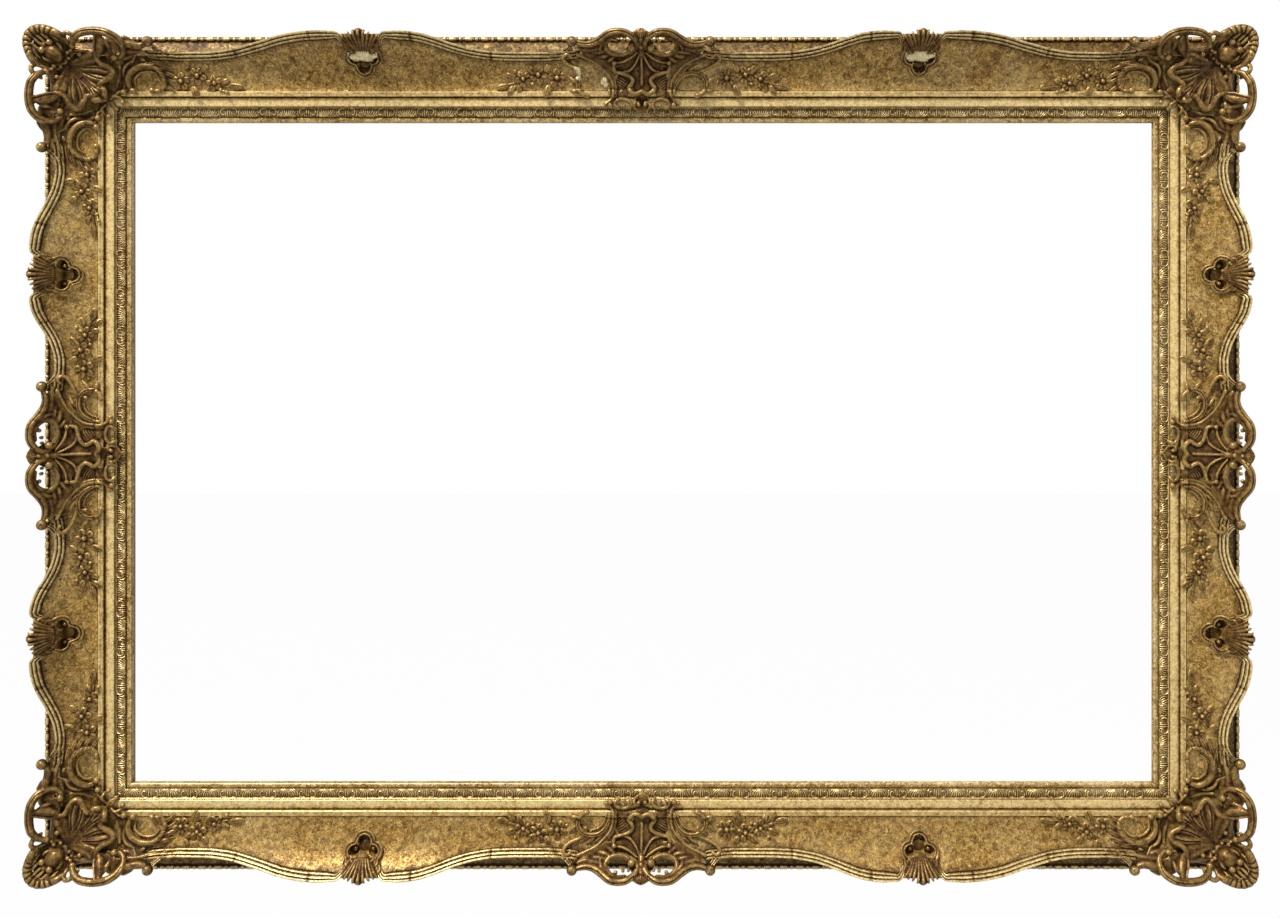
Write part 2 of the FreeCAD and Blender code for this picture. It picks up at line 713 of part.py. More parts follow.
# Clip ornaments: a ribbed fan with a pointed tip over the trefoil's raised rim
clip_fan_shares = (
    (0.0, 1.024), (0.045, 0.985), (0.12, 0.965), (0.19, 0.925), (0.238, 0.86), (0.205, 0.80),
    (0.12, 0.775),
)
clip_fan_root_shares = (0.0, 0.77)
clip_rim_share = 0.039
clip_rib_root_share = 0.80
clip_rib_narrow_share = 0.35
clip_rib_tip_shares = ((0.0, 0.98), (0.09, 0.95), (0.17, 0.89))
clip_knop_shares = (0.0, 0.79, 0.05)


def clip_ornament():
    reach = 2 * moulding_w
    rim = trefoil(clip_rim_share * moulding_w)
    fan_edges = [spline(plan(clip_fan_shares)), line(*plan((clip_fan_shares[-1], clip_fan_root_shares)))]
    fan_edges += [line(*plan((clip_fan_root_shares, clip_fan_shares[0])))]
    fan = prism(Part.Face(Part.Wire(fan_edges)))
    grooves = []
    for tip in clip_rib_tip_shares:
        root = (tip[0] * clip_rib_narrow_share, clip_rib_root_share)
        middle = ((tip[0] + root[0]) / 2, (tip[1] + root[1]) / 2)
        grooves.append(band(plan((root, middle, tip)), rib_w))
    cutter = relief(grooves, layer(far_h, reach).cut(layer(clip_rise - rib_depth, reach)))
    right = relief([fan], layer(clip_rise, reach)).cut(cutter)
    ring = relief([rim], layer(clip_rise, reach)).cut(trefoil(0))
    x, y, radius = [share * moulding_w for share in clip_knop_shares]
    knop = ball(x, y, radius, cove_height(y) + clip_rise)
    whole = right.multiFuse([mirrored(right, Vector(1, 0, 0)), ring]).removeSplitter()
    return one(whole.fuse(knop.cut(trefoil(0)).common(block(far_h, reach))))


clip_piece = clip_ornament()
for name, half, angle, x, y in rails:
    for side, word in ((-1, "_first"), (1, "_second")):
        at_clip = moved(clip_piece, side * half * clip_place_share, 0)
        write("clip_ornament_" + name + word, moved(at_clip, x, y, angle))


# Sprays of flowers and leaves laid along the cove, in plan as distance along the rail, then out
corner_spray_flowers = ((0.634, 0.463, 0.085), (0.83, 0.515, 0.085), (1.024, 0.445, 0.08))
corner_spray_leaves = (
    ((0.66, 0.53), (0.715, 0.66), 0.055), ((0.76, 0.45), (0.80, 0.355), 0.055),
    ((1.22, 0.42), (1.37, 0.395), 0.07), ((0.91, 0.48), (0.94, 0.60), 0.05),
)
corner_spray_berries = ((1.10, 0.39, 0.04), (1.17, 0.375, 0.035))
corner_spray_stem = ((0.60, 0.49), (0.75, 0.49), (0.92, 0.475), (1.10, 0.43), (1.26, 0.41))
centre_spray_flowers = ((0.99, 0.50, 0.095), (1.213, 0.53, 0.085), (1.39, 0.48, 0.08))
centre_spray_leaves = (
    ((1.27, 0.54), (1.34, 0.635), 0.055), ((1.08, 0.49), (1.13, 0.365), 0.06),
    ((1.46, 0.45), (1.53, 0.36), 0.055), ((1.46, 0.48), (1.57, 0.53), 0.055),
    ((1.54, 0.44), (1.67, 0.395), 0.06),
)
centre_spray_berries = ((1.30, 0.43, 0.035), (1.11, 0.57, 0.035))
centre_spray_stem = ((0.99, 0.50), (1.10, 0.505), (1.213, 0.51), (1.39, 0.47), (1.58, 0.43))
petal_count = 5
petal_r_share = 0.44
petal_out_share = 0.56
petal_turn_share = 0.25
flower_eye_share = 0.34
stem_w_share = 0.035
leaf_rise_share = 0.75


def flower(x, y, radius):
    """Round petals about the eye, as prisms in plan."""
    prisms = [disc(x, y, radius * petal_r_share)]
    for i in range(petal_count):
        angle = 2 * math.pi * (i + petal_turn_share) / petal_count
        out = radius * petal_out_share
        prisms.append(disc(x + out * math.cos(angle), y + out * math.sin(angle), radius * petal_r_share))
    return prisms


def spray(flowers, leaves, berries, stem):
    """One spray: petals and eyes standing over a lower stem and its leaves."""
    reach = 3 * moulding_w
    petals = []
    eyes = []
    for x, y, radius in [[share * moulding_w for share in row] for row in flowers]:
        petals += flower(x, y, radius)
        eyes.append(ball(x, y, radius * flower_eye_share, cove_height(y) + spray_rise))
    low = [band(plan(stem), stem_w_share * moulding_w)]
    for base, tip, width in leaves:
        low.append(blade(*plan((base, tip)), width * moulding_w))
    for x, y, radius in [[share * moulding_w for share in row] for row in berries]:
        petals.append(disc(x, y, radius))
    leafage = relief(low, layer(spray_rise * leaf_rise_share, reach))
    petals = relief(petals, layer(spray_rise, reach))
    return petals.multiFuse([leafage] + eyes)


corner_spray_piece = spray(
    corner_spray_flowers, corner_spray_leaves, corner_spray_berries, corner_spray_stem,
)
centre_spray_piece = spray(
    centre_spray_flowers, centre_spray_leaves, centre_spray_berries, centre_spray_stem,
)
diagonal = Vector(1, -1, 0).normalize()
one_arm = mirrored(corner_spray_piece, Vector(1, 0, 0))
both_arms = one_arm.Solids + one_arm.mirror(Vector(0, 0, 0), diagonal).Solids
for name, normals in corners:
    shape = moved(Part.makeCompound(both_arms), long_half, side_half)
    write("corner_sprays_" + name, mirror_all(shape, normals))
pair = centre_spray_piece.Solids + mirrored(centre_spray_piece, Vector(1, 0, 0)).Solids
for name, half, angle, x, y in rails:
    write("centre_sprays_" + name, moved(Part.makeCompound(pair), x, y, angle))


# Wall pads on the back rails, which hold the frame clear of the wall
def wall_pads():
    """Round felt pads, one near each corner, their faces on the wall plane."""
    pads = []
    for side in (-1, 1):
        for row in (-1, 1):
            place = Vector(side * (long_half + pad_out), row * (side_half + pad_out), -pad_thick)
            pads.append(Part.makeCylinder(pad_r, pad_thick, place))
    return Part.makeCompound(pads)


write("wall_pads", wall_pads())


# Hangers: a screwed strap on each side rail, folded round the straight bar of a D ring
ring_axis_drop = strap_thick + ring_clear + ring_wire_r


def hanger_strap(x, z):
    foot = Vector(x - strap_w / 2, z - strap_len, -strap_thick)
    plate = Part.makeBox(strap_w, strap_len, strap_thick, foot)
    upright = [edge for edge in plate.Edges if abs(edge.tangentAt(edge.FirstParameter).z) > 0.5]
    lower = [edge for edge in upright if edge.CenterOfMass.y < z - strap_len / 2]
    plate = plate.makeFillet(strap_corner_r, lower)
    knuckle_r = ring_wire_r + knuckle_wall
    axis = Vector(x - knuckle_w / 2, z, -ring_axis_drop)
    across_rail = Vector(1, 0, 0)
    knuckle = Part.makeCylinder(knuckle_r, knuckle_w, axis, across_rail)
    bore = Part.makeCylinder(ring_wire_r + ring_fit, knuckle_w + 2 * cut_over,
                             axis - across_rail * cut_over, across_rail)
    holes = [Part.makeCylinder(screw_r + strap_hole_fit, strap_thick + 2 * cut_over,
                               Vector(x, z - drop, -strap_thick - cut_over)) for drop in strap_screw_drops]
    return plate.fuse(knuckle).cut(Part.makeCompound(holes + [bore]))


def hanger_ring(x, z):
    """A D ring of round wire, hanging from its straight bar."""
    half_w = ring_w / 2
    h = -ring_axis_drop
    bar = Part.makeCylinder(ring_wire_r, ring_w, Vector(x - half_w, z, h), Vector(1, 0, 0))
    pieces = []
    for side in (-1, 1):
        end = Vector(x + side * half_w, z, h)
        pieces.append(Part.makeSphere(ring_wire_r, end))
        pieces.append(Part.makeCylinder(ring_wire_r, ring_leg, end, Vector(0, -1, 0)))
    bow = Part.makeTorus(half_w, ring_wire_r, Vector(x, z - ring_leg, h), Vector(0, 0, 1))
    below = Part.makeBox(2 * ring_w, 2 * ring_w, 4 * ring_wire_r,
                         Vector(x - ring_w, z - ring_leg - 2 * ring_w, h - 2 * ring_wire_r))
    return one(bar.multiFuse(pieces + [bow.common(below)]).removeSplitter())


for side, word in ((-1, "left"), (1, "right")):
    x = side * (long_half + strap_out)
    write("hanger_strap_" + word, one(hanger_strap(x, strap_z)))
    write("hanger_ring_" + word, hanger_ring(x, strap_z))
write("hanger_screws", Part.makeCompound([screw(x, z, strap_thick) for x, z in strap_screws]))


# Turn buttons hold the picture in the rebate; here they are parked along the rails
button_names = ("top_left", "top_right", "bottom_left", "bottom_right", "left", "right")


def turn_button():
    """A flat button with one rounded end, turning on its screw by the other."""
    end_r = button_w / 2
    reach = button_len - button_w
    body = Part.makeBox(reach, button_w, button_thick, Vector(0, -end_r, 0))
    ends = [Part.makeCylinder(end_r, button_thick, Vector(at, 0, 0)) for at in (0, reach)]
    hole = Part.makeCylinder(screw_r + screw_fit, button_thick + 2 * cut_over, Vector(0, 0, -cut_over))
    button = body.multiFuse(ends).removeSplitter().cut(hole)
    button.translate(Vector(0, 0, -button_clear - button_thick))
    return button


for name, (x, z, angle, side) in zip(button_names, button_places):
    write("turn_button_" + name, one(moved(turn_button(), x, z, angle)))
button_seat = button_thick + 2 * button_clear
button_screws = [screw(x, z, button_seat) for x, z, angle, side in button_places]
write("turn_button_screws", Part.makeCompound(button_screws))
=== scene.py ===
import math

import bpy
import numpy as np
from mathutils import Matrix, Vector
from mathutils.kdtree import KDTree


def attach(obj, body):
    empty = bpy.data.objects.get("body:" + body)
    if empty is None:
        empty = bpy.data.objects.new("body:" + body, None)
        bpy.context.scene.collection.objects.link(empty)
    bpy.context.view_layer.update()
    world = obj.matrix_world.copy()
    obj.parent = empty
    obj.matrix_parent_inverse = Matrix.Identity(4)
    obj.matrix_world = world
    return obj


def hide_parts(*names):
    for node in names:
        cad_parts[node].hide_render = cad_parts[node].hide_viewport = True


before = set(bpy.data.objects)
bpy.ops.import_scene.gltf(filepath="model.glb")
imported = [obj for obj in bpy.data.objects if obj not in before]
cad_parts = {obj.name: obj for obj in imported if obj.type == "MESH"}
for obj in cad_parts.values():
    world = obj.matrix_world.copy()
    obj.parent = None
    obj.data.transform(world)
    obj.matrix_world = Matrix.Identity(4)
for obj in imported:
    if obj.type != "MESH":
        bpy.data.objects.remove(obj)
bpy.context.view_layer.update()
bpy.ops.object.select_all(action="DESELECT")

# Back rails: four mitred pine battens that carry everything else. The wood is bare and darkened by age,
# with its grain along each rail. They are cut straight on the saw and keyed at the corners.
pine_dark = (0.16, 0.085, 0.035, 1)
pine_pale = (0.36, 0.22, 0.11, 1)


def new_material(name):
    """A node material, with its nodes, its links and its main shader."""
    made = bpy.data.materials.new(name)
    made.use_nodes = True
    tree = made.node_tree
    return made, tree.nodes, tree.links, tree.nodes["Principled BSDF"]


def set_inputs(node, **values):
    """Set a node's inputs by their names, with an underscore for each space."""
    for name, value in values.items():
        node.inputs[name.replace("_", " ")].default_value = value


def add_node(nodes, kind, **values):
    """A new shader node with its inputs set."""
    made = nodes.new("ShaderNode" + kind)
    set_inputs(made, **values)
    return made


def two_tones(nodes, low, first, high, second):
    """A colour ramp from one tone to another."""
    made = nodes.new("ShaderNodeValToRGB")
    for stop, position, tone in ((0, low, first), (1, high, second)):
        made.color_ramp.elements[stop].position = position
        made.color_ramp.elements[stop].color = tone
    return made


def connect(links, *rows):
    """Join sockets: each row is a node, its output, another node, and its input."""
    for source, output, target, socket in rows:
        links.new(source.outputs[output], target.inputs[socket])


def wood(name, dark, pale, along):
    """Bare wood with its grain along one axis of the frame: 0 across, 2 upright."""
    made, nodes, links, shader = new_material(name)
    set_inputs(shader, Roughness=0.75)
    place = nodes.new("ShaderNodeTexCoord")
    grain_scale = [260.0, 260.0, 260.0]
    grain_scale[along] = 9.0
    stretch = add_node(nodes, "Mapping", Scale=grain_scale)
    grain = add_node(nodes, "TexNoise", Scale=1.0, Detail=6.0, Distortion=0.6)
    stain = add_node(nodes, "TexNoise", Scale=14.0, Detail=4.0)
    tone = two_tones(nodes, 0.32, dark, 0.68, pale)
    blot = nodes.new("ShaderNodeMix")
    blot.data_type = "RGBA"
    blot.blend_type = "MULTIPLY"
    blot.inputs["Factor"].default_value = 0.45
    bump = add_node(nodes, "Bump", Strength=0.5, Distance=0.0004)
    connect(
        links, (place, "Object", stretch, "Vector"), (stretch, "Vector", grain, "Vector"),
        (place, "Object", stain, "Vector"), (grain, "Fac", tone, "Fac"), (tone, "Color", blot, "A"),
        (stain, "Fac", blot, "B"), (blot, "Result", shader, "Base Color"), (grain, "Fac", bump, "Height"),
        (bump, "Normal", shader, "Normal"),
    )
    return made


def dress(node, material):
    """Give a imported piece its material."""
    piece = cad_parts[node]
    piece.data.materials.clear()
    piece.data.materials.append(material)


pine_across = wood("bare pine, grain across", pine_dark, pine_pale, along=0)
pine_upright = wood("bare pine, grain upright", pine_dark, pine_pale, along=2)
for word in ("top", "bottom"):
    dress("back_rail_" + word, pine_across)
for word in ("left", "right"):
    dress("back_rail_" + word, pine_upright)

# Mitre keys: a slip of beech glued in a slot across each corner of the back rails, planed flush. It is
# paler than the pine, and its grain runs across the joint.
dress("mitre_keys", wood("beech key", (0.27, 0.15, 0.075, 1), (0.47, 0.31, 0.17, 1), along=0))

# Cove mouldings: four lengths of wood run with a frieze, a fillet and a deep cove, sawn along the winding
# crest and mitred. They are gessoed, gilded over red bole, rubbed and toned brown.
# Every piece is modelled in its rail's own plan, in millimetres: x along the rail, y out from the sight
# edge, and z the height above the back of the wood.
mm = 0.001
pad_thick = 6.0
long_half = 495.0
side_half = 320.0
# Each rail's name, half length, turn and middle.
rails = (
    ("top", long_half, 0.0, 0.0, side_half),
    ("right", side_half, -90.0, long_half, 0.0),
    ("bottom", long_half, 180.0, 0.0, -side_half),
    ("left", side_half, 90.0, -long_half, 0.0),
)
moulding_w = 82.0
batten_top = 18.0
slip_w = 14.3
fillet_out = 30.0
bead_in = 77.4
bay_out = 60.0
swell_out = 77.5
core_over = 1.0
shoulder_high = 37.0
shoulder_low = 27.0
cove_axis_out = 27.16
cove_axis_h = 96.1
cove_r = 65.7
clip_share = 0.537
stand_up = Matrix(((mm, 0, 0, 0), (0, 0, -mm, -pad_thick * mm), (0, mm, 0, 0), (0, 0, 0, 1)))
# The crest from a clip to the corner and to the centre: share of the way, and share of the swell.
outer_course_shares = (
    (0.0, 1.0), (0.11, 1.0), (0.17, 1.0), (0.226, 0.97), (0.287, 0.89), (0.352, 0.75), (0.413, 0.54),
    (0.48, 0.34), (0.543, 0.15), (0.63, 0.02), (0.74, 0.0),
)
inner_course_shares = (
    (0.0, 1.0), (0.08, 1.0), (0.125, 1.0), (0.17, 0.97), (0.214, 0.89), (0.265, 0.69), (0.32, 0.43),
    (0.38, 0.20), (0.45, 0.05), (0.53, 0.0),
)
# Out, height and hollow of the frieze and the fillet. The hollow makes the frieze lighter, paints
# highlights on the fillet's edges, and paints shade in the groove between them and at the step down to the
# cove.
frieze_section = (
    (slip_w, batten_top, 0), (slip_w, 28.5, 0.3), (14.9, 29.1, 0.9), (17.5, 29.25, 0.95),
    (20.5, 29.25, 0.8), (22.4, 29.1, 0.2), (22.9, 28.3, -0.6), (23.5, 28.3, -0.6), (23.6, 31.2, 0.3),
    (24.3, 31.9, 0.8), (26.5, 32.1, 0.5), (28.4, 31.9, 0.9), (28.9, 31.2, 0.2), (29.3, 30.7, -0.7),
)
cove_steps = 26
# Painted shade towards the cove's crest, under the ridge, and a painted highlight along its foot: their
# strengths and how far they run.
crest_shade = 0.75
crest_shade_run = 9.0
foot_highlight = 0.35
foot_highlight_run = 5.0
crest_lip = 0.7
shoulder_steps = 9
shoulder_sag = 1.6
shoulder_run = 9.0
shoulder_least = 1.5
shoulder_least_h = 29.4
# Painted shade over the shoulder, and deeper painted shade in the creases at its two edges.
shoulder_shade = -0.42
shoulder_edge_shade = -0.9
station_step = 2.5
saw_smooth = 9
# The crest also swells out at a rail's centre and past its sight corner, with a bay beside each.
centre_swell_end = 9.0
centre_bay_start = 16.4
corner_bay_end = 53.3
corner_swell_start = 60.7
trefoil_lobes = ((0.0, 50.5, 6.3), (9.6, 58.6, 5.2), (-9.6, 58.6, 5.2))
trefoil_web_out = 56.0
trefoil_web_r = 5.4
cutter_h = 52.5
cutter_depth = 60


def cove_height(out):
    """Height of the cove's face above the back of the wood, out from the sight edge."""
    reach = min(max(out, fillet_out), swell_out + core_over) - cove_axis_out
    return cove_axis_h - math.sqrt(cove_r * cove_r - reach * reach)


def rail_place(angle, x, y):
    """From a rail's own plan, in millimetres, to its place in the frame."""
    return stand_up @ Matrix.Translation((x, y, 0)) @ Matrix.Rotation(math.radians(angle), 4, "Z")


def crest_line(half):
    """The crest's distance out, for every millimetre along half a rail, smoothed as a saw follows it."""
    clip_at = half * clip_share
    swell = swell_out - bay_out
    along = [0.0, centre_swell_end, centre_bay_start]
    out = [swell_out, swell_out, bay_out]
    for share, rise in reversed(inner_course_shares):
        along.append(clip_at - clip_at * share)
        out.append(bay_out + swell * rise)
    for share, rise in outer_course_shares[1:]:
        along.append(clip_at + (half - clip_at) * share)
        out.append(bay_out + swell * rise)
    along += [half + corner_bay_end, half + corner_swell_start, half + moulding_w]
    out += [bay_out, swell_out, swell_out]
    every = np.arange(0.0, half + moulding_w + 1.0)
    line = np.interp(every, along, out)
    padded = np.concatenate([line[saw_smooth:0:-1], line, np.full(saw_smooth, line[-1])])
    kernel = np.hanning(2 * saw_smooth + 3)[1:-1]
    return np.convolve(padded, kernel / kernel.sum(), "valid")


def moulding_section(crest):
    """One section of the moulding for a crest that far out: points of out, height and hollow."""
    edge = crest + core_over
    points = list(frieze_section)
    for i in range(cove_steps):
        out = fillet_out + (edge - fillet_out) * i / (cove_steps - 1)
        # Painted shade near the crest and a painted highlight near the foot.
        near_crest = max(0.0, 1 - (edge - out) / crest_shade_run)
        near_foot = max(0.0, 1 - (out - fillet_out) / foot_highlight_run)
        points.append((out, cove_height(out), foot_highlight * near_foot - crest_shade * near_crest))
    top = points[-1][1]
    points += [(edge + 0.3, top - 0.3, 0), (edge + 0.6, top - 1.0, 0)]
    foot = edge + crest_lip
    foot_h = shoulder_high - (shoulder_high - shoulder_low) * (foot - bay_out) / (bead_in - bay_out)
    if foot > bead_in - shoulder_least:
        foot_h = shoulder_least_h
    for i in range(shoulder_steps):
        share = i / (shoulder_steps - 1)
        sag = shoulder_sag * math.sin(math.pi * share) * min(1.0, abs(bead_in - foot) / shoulder_run)
        height = foot_h + (shoulder_low - foot_h) * share - sag
        # Painted shade on the shoulder, deeper at its edges.
        darkened = shoulder_edge_shade if share < 0.1 or share > 0.95 else shoulder_shade
        points.append((foot + (bead_in - foot) * share, height, darkened))
    points.append((bead_in, batten_top, 0))
    return points


def keep_value(piece, name, values):
    """Keep one value on every point of a mesh, for its finish to read."""
    piece.data.attributes.new(name, "FLOAT", "POINT").data.foreach_set("value", values)


def tube_faces(rings, around, base=0, flip=False):
    """Faces of a closed tube whose points come ring by ring, with its two ends."""
    faces = []
    for i in range(rings - 1):
        for j in range(around):
            a = base + i * around + j
            b = base + i * around + (j + 1) % around
            faces.append((a, b, b + around, a + around))
    last = base + (rings - 1) * around
    faces.append(tuple(range(base, base + around))[::-1])
    faces.append(tuple(range(last, last + around)))
    return [face[::-1] for face in faces] if flip else faces


def own_mesh(name, verts, faces, hollow=None):
    """A new piece from points and faces, with its hollow value on each point."""
    mesh = bpy.data.meshes.new(name)
    mesh.from_pydata(verts, [], faces)
    mesh.update()
    piece = bpy.data.objects.new(name, mesh)
    bpy.context.scene.collection.objects.link(piece)
    if hollow is not None:
        keep_value(piece, "hollow", hollow)
    return piece


def pick(piece):
    """Select one piece alone."""
    bpy.ops.object.select_all(action="DESELECT")
    piece.select_set(True)
    bpy.context.view_layer.objects.active = piece


def saw_mitres(piece, half):
    """Cut both ends of a length at 45 degrees and close the cuts."""
    pick(piece)
    bpy.ops.object.mode_set(mode="EDIT")
    for side in (-1, 1):
        bpy.ops.mesh.select_all(action="SELECT")
        bpy.ops.mesh.bisect(plane_co=(side * half, 0, 0), plane_no=(side, -1, 0), clear_outer=True)
        bpy.ops.mesh.select_all(action="SELECT")
        bpy.ops.mesh.fill_holes(sides=0)
    bpy.ops.mesh.select_all(action="SELECT")
    bpy.ops.mesh.normals_make_consistent(inside=False)
    bpy.ops.object.mode_set(mode="OBJECT")


def seat(piece, place, material, slot, *nodes):
    """Put a piece modelled in plan in its place, with its finish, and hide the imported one."""
    piece.data.transform(place)
    if place.determinant() < 0:
        piece.data.flip_normals()
    piece.data.materials.clear()
    piece.data.materials.append(material)
    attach(piece, "root")
    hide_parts(*nodes)


def twin(piece, name):
    """A copy with its own mesh."""
    copy = bpy.data.objects.new(name, piece.data.copy())
    bpy.context.scene.collection.objects.link(copy)
    return copy


def apply_modifier(piece, kind, **settings):
    """Add one modifier and apply it."""
    pick(piece)
    bpy.ops.object.modifier_add(type=kind)
    modifier = piece.modifiers[-1]
    for key, value in settings.items():
        setattr(modifier, key, value)
    bpy.ops.object.modifier_apply(modifier=modifier.name)


def scrap(piece):
    """Delete a piece and its mesh."""
    mesh = piece.data
    bpy.data.objects.remove(piece)
    bpy.data.meshes.remove(mesh)


def trefoil_cutter(clips):
    """Three lobes and the web between them at each clip, as one cutter."""
    bpy.ops.object.select_all(action="DESELECT")
    made = []
    for clip_at in clips:
        for x, y, radius in trefoil_lobes:
            bpy.ops.mesh.primitive_cylinder_add(vertices=32, radius=radius, depth=cutter_depth,
                                                location=(clip_at + x, y, cutter_h))
            made.append(bpy.context.object)
        bpy.ops.mesh.primitive_cylinder_add(vertices=24, radius=trefoil_web_r, depth=cutter_depth,
                                            location=(clip_at, trefoil_web_out, cutter_h))
        made.append(bpy.context.object)
    for part in made:
        part.select_set(True)
    bpy.ops.object.join()
    cutter = bpy.context.object
    cutter.select_set(False)
    return cutter


def cove_moulding(half):
    """A straight length run with the section, sawn to the crest, mitred, and cut for its clips."""
    crest = crest_line(half)
    reach = int(half + moulding_w)
    stations = np.arange(-reach, reach + 1, station_step)
    verts, hollow = [], []
    for at in stations:
        for out, height, value in moulding_section(float(np.interp(abs(at), np.arange(len(crest)), crest))):
            verts.append((at, out, height))
            hollow.append(value)
    faces = tube_faces(len(stations), len(verts) // len(stations))
    piece = own_mesh("cove", verts, faces, hollow)
    saw_mitres(piece, half)
    clip_at = half * clip_share
    cutter = trefoil_cutter((-clip_at, clip_at))
    apply_modifier(piece, "BOOLEAN", operation="DIFFERENCE", object=cutter, solver="EXACT", use_self=True)
    scrap(cutter)
    pick(piece)
    bpy.ops.object.shade_smooth_by_angle(angle=math.radians(35))
    return piece


bole = (0.17, 0.050, 0.010, 1)
speck_dirt = (0.034, 0.013, 0.002, 1)
# A dark colour for dirt and painted shade in hollows.
hollow_dirt_and_shade = (0.020, 0.007, 0.0015, 1)
composition_dull = (0.58, 0.44, 0.20, 1)
composition_pale = (0.90, 0.81, 0.52, 1)


def gilding(name, deep, body, light, mottle, speck, dirt_and_shade_share, rub, grain):
    """Gold leaf on bole, rubbed and toned, with painted shade in hollows and painted highlights on crowns:
    its three tones, the scales of its mottling and specks, the shares of dirt with painted shade and of
    rubbing, and its grain."""
    made, nodes, links, shader = new_material(name)
    shader.inputs["Specular IOR Level"].default_value = 0.13
    place = nodes.new("ShaderNodeTexCoord")

    def noise(scale, detail, distortion=0.0):
        made_noise = add_node(nodes, "TexNoise", Scale=scale, Detail=detail, Roughness=0.62,
                              Distortion=distortion)
        links.new(place.outputs["Object"], made_noise.inputs["Vector"])
        return made_noise.outputs["Fac"]

    def ramp(source, low, high, start=0.0, end=1.0):
        made_ramp = add_node(nodes, "MapRange", From_Min=low, From_Max=high, To_Min=start, To_Max=end)
        links.new(source, made_ramp.inputs["Value"])
        return made_ramp.outputs["Result"]

    def fill(node, values):
        for socket, value in values:
            if isinstance(value, bpy.types.NodeSocket):
                links.new(value, node.inputs[socket])
            else:
                node.inputs[socket].default_value = value

    def blend(factor, a, b):
        made_mix = nodes.new("ShaderNodeMix")
        made_mix.data_type = "RGBA"
        fill(made_mix, (("Factor", factor), ("A", a), ("B", b)))
        return made_mix.outputs["Result"]

    def work(kind, a, b):
        made_math = nodes.new("ShaderNodeMath")
        made_math.operation = kind
        fill(made_math, ((0, a), (1, b)))
        return made_math.outputs["Value"]

    def kept(value_name):
        attribute = nodes.new("ShaderNodeAttribute")
        attribute.attribute_name = value_name
        return attribute.outputs["Fac"]

    broad = noise(16.0, 3.0)
    mottling = noise(mottle, 6.0, 0.8)
    specks = noise(speck, 4.0, 0.4)
    rubbed = noise(mottle * 2.2, 5.0, 1.2)
    bare = kept("bare")
    uneven = work("ADD", kept("hollow"), ramp(mottling, 0.3, 0.7, -0.25, 0.25))
    # From the hollow value: painted shade in the hollows (sunk) and painted highlights on the crowns
    # (raised).
    sunk = ramp(uneven, 0.12, -0.62)
    raised = ramp(uneven, 0.3, 0.95)
    tone = blend(ramp(mottling, 0.36, 0.66), deep, body)
    tone = blend(ramp(broad, 0.45, 0.75, 0.0, 0.4 * rub), tone, light)
    tone = blend(ramp(rubbed, 0.54, 0.68, 0.0, rub), tone, light)
    tone = blend(ramp(rubbed, 0.43, 0.30, 0.0, 0.55), tone, bole)
    tone = blend(ramp(specks, 0.45, 0.34, 0.0, 0.95), tone, speck_dirt)
    tone = blend(ramp(specks, 0.60, 0.70, 0.0, 0.6 * rub), tone, light)
    # Painted highlight on the crowns, broken by the rubbed gold.
    tone = blend(work("MULTIPLY", raised, ramp(rubbed, 0.38, 0.58, 0.35, 0.95)), tone, light)
    # Dirt and painted shade in the hollows.
    dark = work("MULTIPLY", sunk, dirt_and_shade_share)
    tone = blend(dark, tone, hollow_dirt_and_shade)
    tone = blend(bare, tone, blend(ramp(rubbed, 0.4, 0.62), composition_dull, composition_pale))
    links.new(tone, shader.inputs["Base Color"])
    metal_share = ramp(dark, 0.0, 1.0, 0.36, 0.05)
    links.new(work("MULTIPLY", metal_share, ramp(bare, 0.0, 1.0, 1.0, 0.0)), shader.inputs["Metallic"])
    rough = work("ADD", ramp(specks, 0.3, 0.7, 0.44, 0.28), work("MULTIPLY", dark, 0.25))
    links.new(rough, shader.inputs["Roughness"])
    relief = work("ADD", work("MULTIPLY", mottling, 0.6), work("MULTIPLY", specks, 0.5))
    bump = add_node(nodes, "Bump", Strength=grain, Distance=0.0006)
    links.new(relief, bump.inputs["Height"])
    links.new(bump.outputs["Normal"], shader.inputs["Normal"])
    return made


def seat_on_rails(model_of, piece_word, material, slot, node_word):
    """Model a piece for each length of rail, and seat a copy on every rail of that length."""
    for half in (long_half, side_half):
        model = model_of(half)
        for word, rail_half, angle, x, y in rails:
            if rail_half == half:
                piece = twin(model, piece_word + word)
                seat(piece, rail_place(angle, x, y), material, slot, node_word + word)
        scrap(model)


cove_gilt = gilding("mottled gilding on the cove", (0.165, 0.080, 0.013, 1), (0.41, 0.25, 0.060, 1),
                    (0.74, 0.57, 0.26, 1), mottle=190.0, speck=640.0, dirt_and_shade_share=0.9, rub=0.75, grain=0.55)
seat_on_rails(cove_moulding, "cove_gilt_", cove_gilt, "cove_gilding", "cove_moulding_")

# Bead-and-reel strips: turned beads and reels pressed in composition, pinned along the outer edge. They
# are toned dark, with the gold rubbed bright and a painted highlight on the crowns, and painted shade on
# their lower sides and on the base between them.
bead_r = 2.3
bead_axis_h = 26.7
bead_pitch = 15.7
pearl_r = 1.35
pearl_lift = 0.4
pearl_share = 0.2
reel_share = 0.46
reel_edge = 0.7
core_share = 0.55
crown_from = 0.9
crown_run = 1.2
base_shade = -0.4
bead_sides = 12
along_rail = (0, math.pi / 2, 0)
# Out and height of the plain base under the beads.
bead_base = (
    (bead_in, batten_top), (bead_in, 25.9), (bead_in + 0.5, 26.4), (moulding_w - 0.6, 26.4),
    (moulding_w, 25.8), (moulding_w, batten_top),
)


